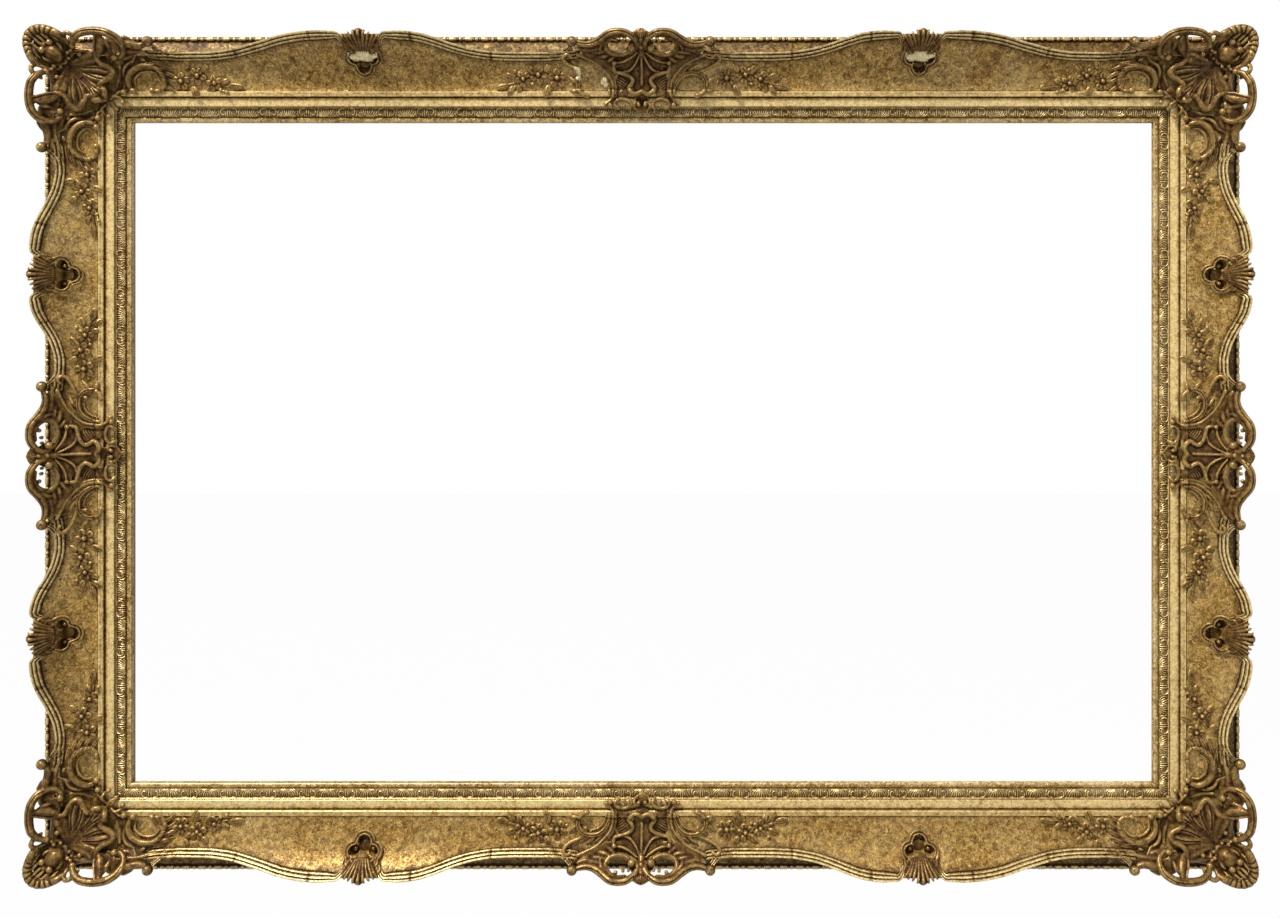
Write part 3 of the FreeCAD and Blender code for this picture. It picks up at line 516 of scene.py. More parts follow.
def bead_strip(half):
    """One bead and one reel, arrayed along a plain base and mitred."""
    length = half + moulding_w
    count = 2 * round(length / bead_pitch)
    pitch = 2 * length / count
    first = -length + pitch / 4
    bpy.ops.object.select_all(action="DESELECT")
    bpy.ops.mesh.primitive_uv_sphere_add(segments=bead_sides, ring_count=8, radius=bead_r,
                                         rotation=along_rail, location=(first + pitch / 2, 0, 0))
    bead = bpy.context.object
    bpy.ops.mesh.primitive_cylinder_add(vertices=bead_sides, radius=bead_r, depth=pitch * reel_share,
                                        rotation=along_rail, location=(first, 0, 0))
    reel = bpy.context.object
    apply_modifier(reel, "BEVEL", width=reel_edge, segments=2, limit_method="ANGLE")
    bpy.ops.mesh.primitive_cylinder_add(vertices=10, radius=bead_r * core_share, depth=pitch,
                                        rotation=along_rail, location=(first, 0, 0))
    parts = [bead, reel, bpy.context.object]
    for side in (-1, 1):
        place = (first + pitch / 2 + side * pitch * pearl_share, 0, pearl_lift)
        bpy.ops.mesh.primitive_uv_sphere_add(segments=10, ring_count=6, radius=pearl_r,
                                             rotation=along_rail, location=place)
        parts.append(bpy.context.object)
    for part in parts:
        part.select_set(True)
    bpy.context.view_layer.objects.active = bead
    bpy.ops.object.join()
    bpy.ops.object.transform_apply(location=True, rotation=True, scale=True)
    bead.data.transform(Matrix.Translation((0, bead_in + bead_r, bead_axis_h)))
    apply_modifier(bead, "ARRAY", count=count, use_relative_offset=False, use_constant_offset=True,
                   constant_offset_displace=(pitch, 0, 0))
    height = np.array([v.co.z for v in bead.data.vertices])
    # Painted highlight on the crowns, with the rubbed gold, and painted shade low on the beads and reels.
    keep_value(bead, "hollow", np.clip((height - bead_axis_h - crown_from) / crown_run, -1, 1))
    verts = [(side * length, out, height) for side in (-1, 1) for out, height in bead_base]
    faces = tube_faces(2, len(bead_base))
    base = own_mesh("base", verts, faces, [base_shade] * len(verts))
    pick(base)
    bead.select_set(True)
    bpy.context.view_layer.objects.active = bead
    bpy.ops.object.join()
    saw_mitres(bead, half)
    bpy.ops.object.shade_smooth_by_angle(angle=math.radians(40))
    return bead


bead_gilt = gilding("dark toned gilding on the beads", (0.060, 0.027, 0.005, 1), (0.19, 0.105, 0.024, 1),
                    (0.70, 0.52, 0.22, 1), mottle=200.0, speck=700.0, dirt_and_shade_share=1.0, rub=0.4, grain=0.4)
seat_on_rails(bead_strip, "bead_reel_", bead_gilt, "bead_gilding", "bead_strip_")

# Swept ridges: reeded rods of composition, bent by hand along the crest in four lengths on each rail. Each
# starts in a curl by its clip and ends in a round knob, and fine cracks cross it where it has shrunk.
knob_r = 5.0
knob_out = 72.0
knob_lift = 4.5
knob_along = 28.0
centre_knob_along = 65.5
crack_first = 17
crack_every = 37
crack_depth = 0.55
crack_above = -0.7
crack_dirt = 1.6
# Each course grows darker over its last part, from this share of its length.
end_from = 0.8
end_darkening = 2.0
reed_step = 1.6
reed_lift = 0.6
lean_most = 0.5
lean_run = 75
course_from = 22.0
course_to = 19.0
course_step = 6.0
course_over = 0.2
# How far along and out: the curl from the clip, the neck from the knob and the bay, and the short course.
ridge_curl = ((17.5, 71.0), (18.5, 74.5))
ridge_neck = ((-12.0, 1.2), (-5.5, 5.0), (-1.5, 9.0))
ridge_short = ((-24.0, 0.4), (-12.0, 0.8), (0.0, 1.6), (7.0, 3.0))
# Across and up of the reeded section, and the hollow of each of its points: low values paint shade in the
# grooves and at the sides, high ones paint highlights on the reeds' crowns.
reed_section = (
    (-4.1, -4.5), (-4.0, -0.6), (-3.6, 0.5), (-2.9, 1.1), (-2.1, 1.0), (-1.55, 0.1), (-1.2, 1.4),
    (-0.5, 2.3), (0.3, 2.4), (1.0, 1.7), (1.35, 0.7), (1.8, 1.9), (2.6, 2.6), (3.4, 2.3), (4.0, 1.2),
    (4.1, -0.8), (3.9, -7.0),
)
reed_hollow = (-1, -0.7, 0.2, 0.8, 0.3, -1, 0.1, 0.8, 0.9, 0.2, -1, 0.3, 0.9, 0.8, 0.2, -0.6, -1)


def smooth_path(points, step):
    """A smooth line through the points, read every so many millimetres."""
    knots = [Vector(p) for p in points]
    knots = [2 * knots[0] - knots[1]] + knots + [2 * knots[-1] - knots[-2]]
    path = []
    for a, b, c, d in zip(knots, knots[1:], knots[2:], knots[3:]):
        count = max(2, int((c - b).length / step))
        for i in range(count):
            t = i / count
            path.append(0.5 * ((2 * b) + (c - a) * t + (2 * a - 5 * b + 4 * c - d) * t * t
                               + (3 * b - a - 3 * c + d) * t ** 3))
    path.append(knots[-2])
    return path


def reeded(points, widths, dim):
    """Verts, faces and hollows of a reeded rod along a plan line, seated on the cove and darker by dim."""
    path = smooth_path(points, reed_step)
    verts, hollow = [], []
    for i, at in enumerate(path):
        ahead = path[min(i + 1, len(path) - 1)] - path[max(i - 1, 0)]
        side = Vector((-ahead.y, ahead.x)).normalized()
        if side.y < 0:
            side = -side
        share = i / (len(path) - 1)
        width = float(np.interp(share, [0, 0.12, 0.85, 1], widths))
        crack = crack_depth if i % crack_every == crack_first else 0.0
        for (across, up), value in zip(reed_section, reed_hollow):
            spot = at.xy + side * across * width
            lean = min(lean_most, (at.y - cove_axis_out) / lean_run) * across * width
            lowered = crack if up > crack_above else 0
            verts.append((spot.x, spot.y, cove_height(at.y) + lean + up * width + reed_lift - lowered))
            # Painted highlights on the reeds and painted shade in their grooves; cracks, dim and the
            # course's end add darkening.
            hollow.append(value - crack_dirt * crack - dim - end_darkening * max(0.0, share - end_from))
    flip = path[-1].x > path[0].x
    return verts, tube_faces(len(path), len(reed_section), flip=flip), hollow


def swept_ridge(half):
    """All four courses of a rail, each with the short course beside it, and their knobs."""
    crest = crest_line(half)
    clip_at = half * clip_share
    verts, faces, hollow = [], [], []
    for toward, knob_x in ((1, half - knob_along), (-1, centre_knob_along)):
        line = [(clip_at + toward * along, out) for along, out in ridge_curl]
        at = clip_at + toward * course_from
        while toward * at < toward * knob_x - course_to:
            line.append((at, float(np.interp(at, np.arange(len(crest)), crest)) + course_over))
            at += toward * course_step
        line += [(knob_x + toward * along, bay_out + over) for along, over in ridge_neck]
        short = [(knob_x + toward * along, bay_out + over) for along, over in ridge_short]
        courses = ((line, (0.55, 1.0, 1.0, 0.55), 0.0), (short, (0.9, 1.0, 0.95, 0.7), 0.45))
        for mirror in (1, -1):
            for course, widths, dim in courses:
                v, f, h = reeded([(mirror * x, y, 0) for x, y in course], widths, dim)
                base = len(verts)
                verts += v
                hollow += h
                faces += [tuple(base + k for k in face) for face in f]
    ridge = own_mesh("ridge", verts, faces, hollow)
    for knob_x in (half - knob_along, centre_knob_along):
        for mirror in (1, -1):
            bpy.ops.object.select_all(action="DESELECT")
            place = (mirror * knob_x, knob_out, cove_height(knob_out) + knob_lift)
            bpy.ops.mesh.primitive_uv_sphere_add(segments=28, ring_count=16, radius=knob_r, location=place)
            knob = bpy.context.object
            # Painted highlight on the knob's front crown and painted shade on its sides and back.
            keep_value(knob, "hollow", [0.9 * v.co.z / knob_r - 0.7 for v in knob.data.vertices])
            ridge.select_set(True)
            bpy.context.view_layer.objects.active = ridge
            bpy.ops.object.join()
    pick(ridge)
    bpy.ops.object.shade_smooth_by_angle(angle=math.radians(50))
    return ridge


ridge_gilt = gilding("rubbed gilding on the ridge", (0.090, 0.045, 0.009, 1), (0.27, 0.162, 0.040, 1),
                     (0.80, 0.63, 0.30, 1), mottle=200.0, speck=640.0, dirt_and_shade_share=1.0, rub=0.6, grain=0.4)
seat_on_rails(swept_ridge, "reeded_ridge_", ridge_gilt, "ridge_gilding", "swept_ridge_")

# Sight slips: four mitred strips next to the picture, with a plain rounded lip and a pressed leaf pattern:
# pairs of bars between curls and spread acanthus. The pattern is toned dark in its ground, with painted
# shade there and painted highlights on the tops of its rods and on the strip's raised edges.
leaf_pitch = 38.0
rod_sides = 5
rod_step = 1.9
rod_rise = 1.7
rod_sunk = 0.2
strip_stations = 60
# Out and height of the strip, with the hollow of each point. The ground of the pattern is points 6 to 12.
slip_section = (
    (0.0, batten_top), (0.0, 22.9), (0.5, 23.7), (1.4, 24.0), (3.6, 24.0), (4.4, 23.6), (4.9, 23.2),
    (5.2, 24.4), (6.4, 25.2), (8.0, 25.75), (9.8, 25.9), (11.6, 25.6), (13.0, 25.0), (13.3, 26.2),
    (13.8, 26.6), (14.15, 26.0), (14.15, batten_top),
)
# Low values paint shade in the pattern's ground, high ones paint highlights on the raised edges.
slip_hollow = (0, 0.1, 0.6, 0.35, 0.2, 0.1, -0.9, -0.8, -0.9, -0.9, -0.9, -0.9, -0.9, 0.3, 0.9, 0.2, 0)
# Half of one repeat, out from the middle of its bars: bars, curls and the leaf's veins.
bar_lines = (((1.15, 5.6), (1.15, 9.5), (1.15, 13.2)),)
curl_lines = (
    ((3.0, 12.9), (5.4, 13.1), (7.4, 11.6), (7.7, 9.0), (6.3, 7.0), (4.4, 7.2), (4.3, 9.0)),
    ((2.9, 5.6), (3.0, 7.0), (2.8, 9.4)),
    ((8.6, 5.7), (9.6, 7.4), (9.4, 9.6), (10.4, 12.6)),
)
vein_lines = (
    ((19.0, 5.5), (17.9, 9.4), (18.2, 13.2)),
    ((18.4, 5.5), (16.2, 9.0), (15.4, 13.0)),
    ((17.6, 5.4), (14.4, 8.4), (13.0, 12.6)),
    ((16.4, 5.3), (12.9, 7.2), (11.3, 10.6)),
    ((14.2, 5.4), (11.8, 6.1), (10.4, 7.8)),
)


def slip_bed(out):
    """Height of the pattern's ground."""
    ground = slip_section[6:13]
    return float(np.interp(out, [p[0] for p in ground], [p[1] for p in ground]))


def sight_slip(half):
    """A leaf repeat of small rods on the strip's curved ground, arrayed and mitred."""
    length = half + slip_w
    count = round(2 * half / leaf_pitch)
    pitch = 2 * half / count
    verts, faces, hollow = [], [], []
    for lines, radius in ((bar_lines, 0.8), (curl_lines, 0.75), (vein_lines, 0.8)):
        for line in lines:
            for mirror in (1, -1):
                path = smooth_path([(mirror * x * pitch / leaf_pitch, y, 0) for x, y in line], rod_step)
                start = len(verts)
                for i, at in enumerate(path):
                    ahead = (path[min(i + 1, len(path) - 1)] - path[max(i - 1, 0)]).normalized()
                    across = Vector((-ahead.y, ahead.x, 0))
                    share = i / (len(path) - 1)
                    size = radius * (0.45 + 0.55 * math.sin(math.pi * min(1.0, share * 0.75 + 0.25)))
                    bed = slip_bed(at.y)
                    for k in range(rod_sides):
                        turn = math.pi * k / (rod_sides - 1)
                        up = math.sin(turn) * rod_rise * size
                        spot = at + across * math.cos(turn) * size
                        verts.append((spot.x, spot.y, bed - rod_sunk + up))
                        # Painted highlight on the top of each rod and painted shade on its sides.
                        hollow.append(-1 + 1.9 * math.sin(turn) ** 1.5)
                faces += tube_faces(len(path), rod_sides, start, flip=True)
    leaf = own_mesh("leaf", verts, faces, hollow)
    leaf.data.transform(Matrix.Translation((-half - pitch / 2, 0, 0)))
    apply_modifier(leaf, "ARRAY", count=count + 2, use_relative_offset=False, use_constant_offset=True,
                   constant_offset_displace=(pitch, 0, 0))
    stations = np.linspace(-length, length, strip_stations)
    verts = [(at, out, height) for at in stations for out, height in slip_section]
    faces = tube_faces(strip_stations, len(slip_section))
    strip = own_mesh("strip", verts, faces, list(slip_hollow) * len(stations))
    pick(strip)
    leaf.select_set(True)
    bpy.ops.object.join()
    saw_mitres(strip, half)
    bpy.ops.object.shade_smooth_by_angle(angle=math.radians(50))
    return strip


slip_gilt = gilding("toned gilding on the slip", (0.14, 0.072, 0.013, 1), (0.43, 0.275, 0.072, 1),
                    (0.88, 0.71, 0.37, 1), mottle=210.0, speck=700.0, dirt_and_shade_share=0.58, rub=0.8, grain=0.4)
seat_on_rails(sight_slip, "leaf_slip_", slip_gilt, "slip_gilding", "sight_slip_")

# Corner ornaments: shells of cast composition pinned over the mitres. Each has a hooded lobe with a bud
# under it, a fluted fan with a thick rolled rim, two open loops, and scrolls that run out over the coves.


def bed_height(x, y):
    """Height of the moulding's face under a place in a corner's plan."""
    out = max(x, y)
    if out < 29:
        return float(np.interp(out, (0, 12, 14, 22, 24, 29), (25.0, 25.5, 29.0, 29.0, 32.0, 32.0)))
    return cove_height(out)


def rail_bed(x, y):
    """The same in a rail's plan."""
    return bed_height(-moulding_w, y)


def rods(lines, bed, flat=1.0, sides=10):
    """Tapered rods with round ends along lines of (x, y, lift, radius), laid on a bed."""
    verts, faces = [], []
    for line in lines:
        path = smooth_path(line, 1.3)
        spots = [Vector((p[0], p[1], bed(p[0], p[1]) + p[2])) for p in path]
        radii = [p[3] for p in path]
        heads = (spots[1] - spots[0]).normalized(), (spots[-1] - spots[-2]).normalized()
        caps = [(k, math.sqrt(1 - k * k)) for k in (0.95, 0.6)]
        start = [(spots[0] - heads[0] * radii[0] * k, radii[0] * width) for k, width in caps]
        stop = [(spots[-1] + heads[1] * radii[-1] * k, radii[-1] * width) for k, width in caps[::-1]]
        rings = start + list(zip(spots, radii)) + stop
        base = len(verts)
        for i, (spot, radius) in enumerate(rings):
            ahead = (rings[min(i + 1, len(rings) - 1)][0] - rings[max(i - 1, 0)][0]).normalized()
            across = Vector((-ahead.y, ahead.x, 0)).normalized()
            up = ahead.cross(across)
            if up.z < 0:
                up = -up
            for k in range(sides):
                turn = 2 * math.pi * k / sides
                verts.append(spot + across * math.cos(turn) * radius + up * math.sin(turn) * radius * flat)
        faces += tube_faces(len(rings), sides, base)
    return own_mesh("rods", verts, faces)


def balls(rows, bed):
    """Drops as x, y, lift and radius, or x, y, lift, half length, half width, half height and turn."""
    made = []
    for row in rows:
        if len(row) == 4:
            row = row + (row[3], row[3], 0.0)
        x, y, lift, length, width, height, turn = row
        bpy.ops.mesh.primitive_uv_sphere_add(segments=18, ring_count=12, radius=1.0)
        drop = bpy.context.object
        drop.data.transform(Matrix.Translation((x, y, bed(x, y) + lift))
                            @ Matrix.Rotation(math.radians(turn), 4, "Z")
                            @ Matrix.Diagonal((length, width, height, 1)))
        made.append(drop)
    return made


bubble_points = 80


def fuse(parts, name, voxel, soften):
    """Join parts into one closed skin, drop the bubbles shut inside it, and soften it as cast work is."""
    bpy.ops.object.select_all(action="DESELECT")
    for part in parts:
        part.select_set(True)
    bpy.context.view_layer.objects.active = parts[0]
    bpy.ops.object.join()
    piece = parts[0]
    apply_modifier(piece, "REMESH", mode="VOXEL", voxel_size=voxel)
    pick(piece)
    bpy.ops.mesh.separate(type="LOOSE")
    skins = sorted(bpy.context.selected_objects, key=lambda skin: len(skin.data.vertices))
    for bubble in [skin for skin in skins if len(skin.data.vertices) < bubble_points]:
        scrap(bubble)
    piece = skins[-1]
    bpy.context.view_layer.objects.active = piece
    bpy.ops.object.join()
    piece.name = name
    apply_modifier(piece, "SMOOTH", factor=0.5, iterations=soften)
    return piece


def on_points(piece, what):
    """The co or the normal of every point."""
    rows = np.zeros(len(piece.data.vertices) * 3)
    piece.data.vertices.foreach_get(what, rows)
    return rows.reshape(-1, 3)


def carve(piece, lines, width, depth):
    """Press grooves, or raise veins where depth is below zero, along plan lines."""
    co = on_points(piece, "co")
    facing = np.clip(on_points(piece, "normal")[:, 2] * 3, 0, 1)
    cut = np.zeros(len(co))
    for line in lines:
        path = [np.array(p[:2]) for p in smooth_path([(q[0], q[1], 0) for q in line], 2.0)]
        path_low, path_high = np.min(path, axis=0) - width, np.max(path, axis=0) + width
        near = np.where(np.all((co[:, :2] > path_low) & (co[:, :2] < path_high), axis=1))[0]
        best = np.full(len(near), 1e9)
        for a, b in zip(path, path[1:]):
            run = b - a
            share = np.clip(((co[near, :2] - a) @ run) / max(run @ run, 1e-9), 0, 1)
            best = np.minimum(best, np.linalg.norm(co[near, :2] - a - share[:, None] * run, axis=1))
        cut[near] = np.maximum(cut[near], np.clip(1 - (best / width) ** 2, 0, 1))
    co[:, 2] -= cut * facing * depth
    piece.data.vertices.foreach_set("co", co.ravel())
    piece.data.update()


def read_hollows(piece, rounds, scale):
    """How far each point stands out of its neighbourhood, from -1 in a hollow to 1 on a crown."""
    co = on_points(piece, "co")
    normals = on_points(piece, "normal")
    edges = np.zeros(len(piece.data.edges) * 2, np.int64)
    piece.data.edges.foreach_get("vertices", edges)
    edges = edges.reshape(-1, 2)
    a, b = edges[:, 0], edges[:, 1]
    degree = np.bincount(edges.ravel(), minlength=len(co))[:, None]
    value = np.zeros(len(co))
    smooth = co.copy()
    for i in range(rounds):
        total = np.zeros_like(smooth)
        for k in range(3):
            total[:, k] = np.bincount(a, smooth[b, k], len(co)) + np.bincount(b, smooth[a, k], len(co))
        smooth = 0.5 * smooth + 0.5 * total / np.maximum(degree, 1)
        if i == rounds // 6:
            value += np.einsum("ij,ij->i", co - smooth, normals) / scale * 1.6
    value += np.einsum("ij,ij->i", co - smooth, normals) / scale
    return np.clip(value, -1, 1)


def thin(piece, share, rounds, scale):
    """Record the hollows on the full skin, thin it, and give the values to the points that are left."""
    value = read_hollows(piece, rounds, scale)
    full = on_points(piece, "co")
    if share < 1:
        apply_modifier(piece, "DECIMATE", ratio=share)
        tree = KDTree(len(full))
        for i, co in enumerate(full):
            tree.insert(co, i)
        tree.balance()
        value = np.array([value[tree.find(co)[1]] for co in on_points(piece, "co")])
    # Through the finish, the hollow value paints shade in the recesses and highlights on the crowns.
    keep_value(piece, "hollow", value)
    pick(piece)
    bpy.ops.object.shade_smooth()
    return piece


def swapped(lines):
    """The same lines on the other arm of a corner."""
    return [[(p[1], p[0]) + tuple(p[2:]) for p in line] for line in lines]


def swapped_drops(rows):
    """The same drops on the other arm of a corner."""
    return [(r[1], r[0]) + r[2:6] + tuple(90 - turn for turn in r[6:]) for r in rows]


# One arm of the corner, as rods of x, y, lift and radius, and drops. The other arm is its mirror image.
corner_loops = [
    [(44.5, 69, 5.5, 2.4), (39.5, 75, 5.5, 3.4), (31, 79.0, 5, 3.9), (19.7, 80.6, 4.5, 4.1),
     (8.5, 79.0, 4.5, 4.0), (0, 74.6, 4.5, 3.8), (-3.2, 69, 4.5, 3.3), (-2, 62.8, 4.5, 2.7),
     (2.5, 58.8, 4.5, 2.3), (6.2, 57.8, 5, 1.9)],
    [(51, 76.5, 2.5, 2.4), (46, 79, 3.5, 2.4), (41, 77, 4.5, 2.2), (37.5, 72.5, 4, 1.7)],
    [(15.4, 78, 5.0, 1.8), (16.4, 72, 5.2, 4.2), (18.5, 66, 5.6, 4.4), (21.5, 60.5, 6, 2.2)],
    [(14, 75, 4.4, 1.4), (11.5, 70, 4.6, 2.4), (10, 64.5, 5, 1.4)],
    [(17.6, 79, 7.0, 0.9), (20.6, 72.5, 8.2, 1.1), (23.4, 66.5, 8.4, 1.1), (24.4, 61.5, 7.4, 0.9)],
]
corner_walls = [
    [(45, 65.5, 2.5, 2.2), (34, 65, 2.5, 2.2), (24, 64.5, 2.5, 2.4), (16, 68, 1.5, 2.4),
     (10, 69.5, 1.5, 2.6)],
    [(14, 60.5, 1.2, 3.0), (8, 66, 1.2, 4.5), (2, 68, 1.2, 3.2)],
]
corner_plates = [
    [(57, 57, 2.6, 7.0), (46, 46, 3.6, 11.0), (35, 35, 5.2, 12.5), (28, 28, 6.4, 8.5)],
    [(50, 60, 2.6, 6.0), (38, 56.5, 3.6, 7.5), (27, 52, 5.2, 8.0), (19, 47.5, 6.0, 5.5)],
    [(13, 67.5, 1.4, 8.5), (7, 70, 1.2, 9.0), (2, 69.5, 1.2, 7.0)],
    [(46, 66.0, 2.2, 4.6), (31, 64.0, 2.2, 4.2), (18, 65.5, 1.8, 4.8)],
    [(50, 70.0, 1.8, 6.0), (60, 72.0, 1.8, 8.0), (70, 71.0, 1.8, 10.0)],
    [(14, 26.0, 1.4, 5.0), (6, 34.0, 1.2, 5.0), (2, 44.0, 1.2, 5.0), (-4, 56.0, 1.0, 5.0),
     (-12, 66.0, 1.0, 4.0)],
]
corner_rim = [
    [(20.2, 20.2, 7.5, 2.8), (18.5, 27, 8.5, 3), (22.6, 33, 9.5, 2.9), (19, 37.5, 9, 3), (13, 41, 8, 3.2),
     (10.4, 45.5, 7.5, 3.2), (14, 50, 7.5, 3), (19.5, 52.4, 8, 2.8), (22.8, 55.5, 8, 2.6), (24, 60, 7, 2.4),
     (23, 64, 6, 2.1)],
]
corner_ribs = [
    [(53, 53.5, 4.6, 1.7), (41, 57, 5.7, 2.7), (31, 60.5, 5.6, 3.7), (27, 61.5, 5.7, 3.2)],
    [(53, 53, 4.6, 1.7), (40, 53.5, 6, 2.9), (29, 56, 6.6, 3.9), (24.5, 57, 7, 3.4)],
    [(52, 52, 4.6, 1.7), (38, 49, 6.2, 3.4), (24, 48.5, 7, 4.8), (15, 46.5, 7, 4.1)],
    [(52, 52, 4.6, 1.8), (38, 45, 6.6, 3.4), (27, 40, 7.7, 4.4), (19.5, 38.5, 8.5, 3.7)],
    [(52, 52, 4.6, 1.8), (39, 41, 6.9, 3.3), (30, 32.5, 8.1, 4.3), (23, 28, 8.4, 4)],
]
corner_middle_rib = [[(52, 52, 4.6, 1.8), (40, 40, 6.6, 2.9), (30, 30, 7.9, 4.1), (22.5, 22.5, 8, 3.4)]]
corner_lobe_rim = [
    [(50, 75.5, 3.4, 2.6), (54, 78.2, 3.4, 3.4), (60, 80.6, 3.2, 4), (67, 82.6, 3, 4.4),
     (74.5, 82.4, 2.8, 4.6), (79.8, 79.8, 2.6, 4.6)],
]
corner_collar = [
    [(66, 52.5, 6, 1.3), (59, 52, 7, 1.7), (53.8, 53.8, 7.4, 1.9)],
    [(70.5, 58, 6, 1.0), (68, 55, 8, 1.5), (61.5, 54, 9, 1.6), (56.4, 56.4, 9.6, 1.7)],
    [(52, 46.5, 4.5, 2.0), (48, 60, 4, 2.2), (47, 68, 4.5, 2.0), (50, 75.5, 3, 2.0)],
]
corner_horns = [
    [(-1, 72.5, 1.7, 3.2), (-8, 70.5, 1.7, 4), (-16, 69, 1.7, 3.8), (-22, 70, 1.2, 2.8),
     (-25, 72, 1.2, 1.9)],
    [(0, 64, 2.2, 2.5), (-7, 64.5, 1.7, 3), (-15, 64.5, 1.2, 2.5), (-24, 62, 1.2, 1.8),
     (-32, 60.5, 0.7, 1)],
    [(2, 58, 2.7, 2), (-4, 59.5, 2.2, 2.5), (-9, 61.5, 1.4, 2), (-12, 66, 1.2, 1.2)],
    [(-4, 76, -2.8, 2.8), (-9, 74.5, -3.8, 2.2), (-12, 72, -2.8, 1.5)],
]
corner_scrolls = [
    [(-8.5, 26.5, 2.2, 1.6), (-4, 30.5, 3, 2.2), (-2, 38, 4, 2.9), (-6, 46, 4.4, 3.2),
     (-14.5, 50.8, 4.2, 3.2), (-25.5, 51.8, 3.8, 3.0), (-33, 47.5, 3.4, 2.8), (-37, 40, 3, 2.5),
     (-36, 33, 2.6, 2.1), (-30.5, 28.8, 2.4, 1.8), (-25.5, 29.5, 2.6, 1.8)],
    [(-8, 34, 1.4, 1.0), (-8, 40, 2.2, 1.3), (-13, 45, 2.2, 1.5), (-20, 47, 2, 1.5), (-27, 46, 1.6, 1.3),
     (-31, 41.5, 1.2, 1.0)],
    [(3, 30, 2, 1.4), (1, 38, 2.5, 1.7), (1.5, 46, 3, 2.0), (-2, 52.5, 3, 1.8), (-9, 56.5, 2, 1.2)],
    [(12, 30, 1.4, 1.2), (9, 36, 1.6, 1.6), (6, 44, 2, 1.8), (5, 52, 2.4, 1.6)],
]
corner_leaves = [
    [(-22, 53, 2.4, 1.7), (-30, 54.5, 2, 2.5), (-38, 54, 1, 1.3)],
    [(-28, 51.5, 2.4, 1.9), (-37, 50.5, 2, 2.6), (-45, 48.5, 0.8, 1.2)],
    [(-33, 47, 2.4, 1.9), (-41, 44.5, 2, 2.6), (-48, 41, 0.8, 1.2)],
    [(-36, 41, 2.2, 1.9), (-42.5, 38, 1.6, 2.3), (-48, 33.5, 0.8, 1)],
    [(-36, 34, 1.6, 1.7), (-41.5, 31, 1.2, 1.9), (-46, 27.5, 0.6, 0.9)],
]
corner_chain = [
    [(16.5, 20.5, 3.5, 1.2), (11.5, 23.5, 3.6, 1.5), (6.5, 22, 3.2, 1.5), (5.2, 17.6, 3.4, 1.3)],
    [(10.5, 24, 3, 1.2), (6.5, 27.5, 2.6, 1.4), (2.4, 27.2, 2.6, 1.4)],
    [(1.5, 27.5, 2.2, 1.4), (-2.5, 31, 2, 1.4), (-6.5, 29, 2.2, 1.4)],
    [(12.5, 12.5, 2.5, 1.4), (16.5, 14.5, 3.4, 1.6), (18.5, 18.5, 3.6, 1.6)],
]
corner_drops = [
    (43.8, 68.4, 6.2, 2.9), (6.9, 58.6, 6.4, 3.3), (39.5, 61.0, 6.0, 2.3), (27.5, 57.0, 7.2, 2.6),
    (3.9, 17.6, 4.2, 2.5), (2.2, 27.0, 3.4, 2.8), (-6.8, 28.3, 3.4, 3.0), (-24.5, 29.0, 3.4, 2.9),
    (70.5, 63.5, 8.5, 3.1), (62.5, 49.5, 8.0, 2.0), (64.5, 46.5, 7.0, 1.7), (57.5, 49.5, 8.0, 1.8),
    (-18, 57.5, 2.2, 3.0, 1.6, 1.2, 20),
]
corner_middle_drops = [
    (61.6, 61.6, 9.6, 9.8, 8.0, 7.6, 45), (12.2, 12.2, 3.4, 2.5), (69.0, 69.0, 1.6, 15.5, 13.5, 4.0, -45),
    (69.0, 69.0, 8.0, 2.7),
]
hood_spikes = [
    [(77, 74, 4, 1.8), (72.5, 69.5, 6.5, 1.5), (69, 66.5, 7.5, 0.7)],
    [(79.5, 70, 3, 1.7), (75, 65.5, 5.5, 1.5), (71, 61, 6.5, 0.7)],
    [(80.5, 64, 2.5, 1.7), (76.5, 60, 4.5, 1.4), (72.5, 56, 5, 0.7)],
]


def corner_model():
    """The whole corner, both arms, cast in one with its grooves pressed in."""
    parts = [rods(corner_plates + swapped(corner_plates), bed_height, flat=0.26, sides=16)]
    both = corner_loops + corner_walls + corner_rim + corner_collar + corner_horns + corner_scrolls \
        + corner_leaves + corner_chain + corner_lobe_rim
    parts.append(rods(both + swapped(both), bed_height))
    ribs = corner_ribs + swapped(corner_ribs) + corner_middle_rib + hood_spikes + swapped(hood_spikes)
    parts.append(rods(ribs, bed_height, flat=0.8))
    rows = corner_drops + swapped_drops(corner_drops) + corner_middle_drops
    parts += balls(rows, bed_height)
    piece = fuse(parts, "corner", voxel=0.72, soften=2)
    gadroons = []
    middle = Vector((69.5, 69.5))
    for k in range(9):
        turn = math.radians(45 + (k - 4) * 21)
        ahead = Vector((math.cos(turn), math.sin(turn)))
        spots = (middle + ahead * 9.5, middle + ahead * 13.5 + ahead.orthogonal(), middle + ahead * 18.5)
        gadroons.append([tuple(spot) for spot in spots])
    carve(piece, gadroons, width=1.2, depth=1.0)
    flutes = [line[1:] for line in corner_ribs[2:]]
    carve(piece, flutes + [corner_middle_rib[0][1:]] + swapped(flutes), width=1.0, depth=0.9)
    carve(piece, corner_leaves + swapped(corner_leaves), width=0.6, depth=0.7)
    outer = [corner_loops[0][1:7]]
    carve(piece, outer + swapped(outer), width=0.8, depth=0.8)
    return thin(piece, share=0.62, rounds=36, scale=1.1)


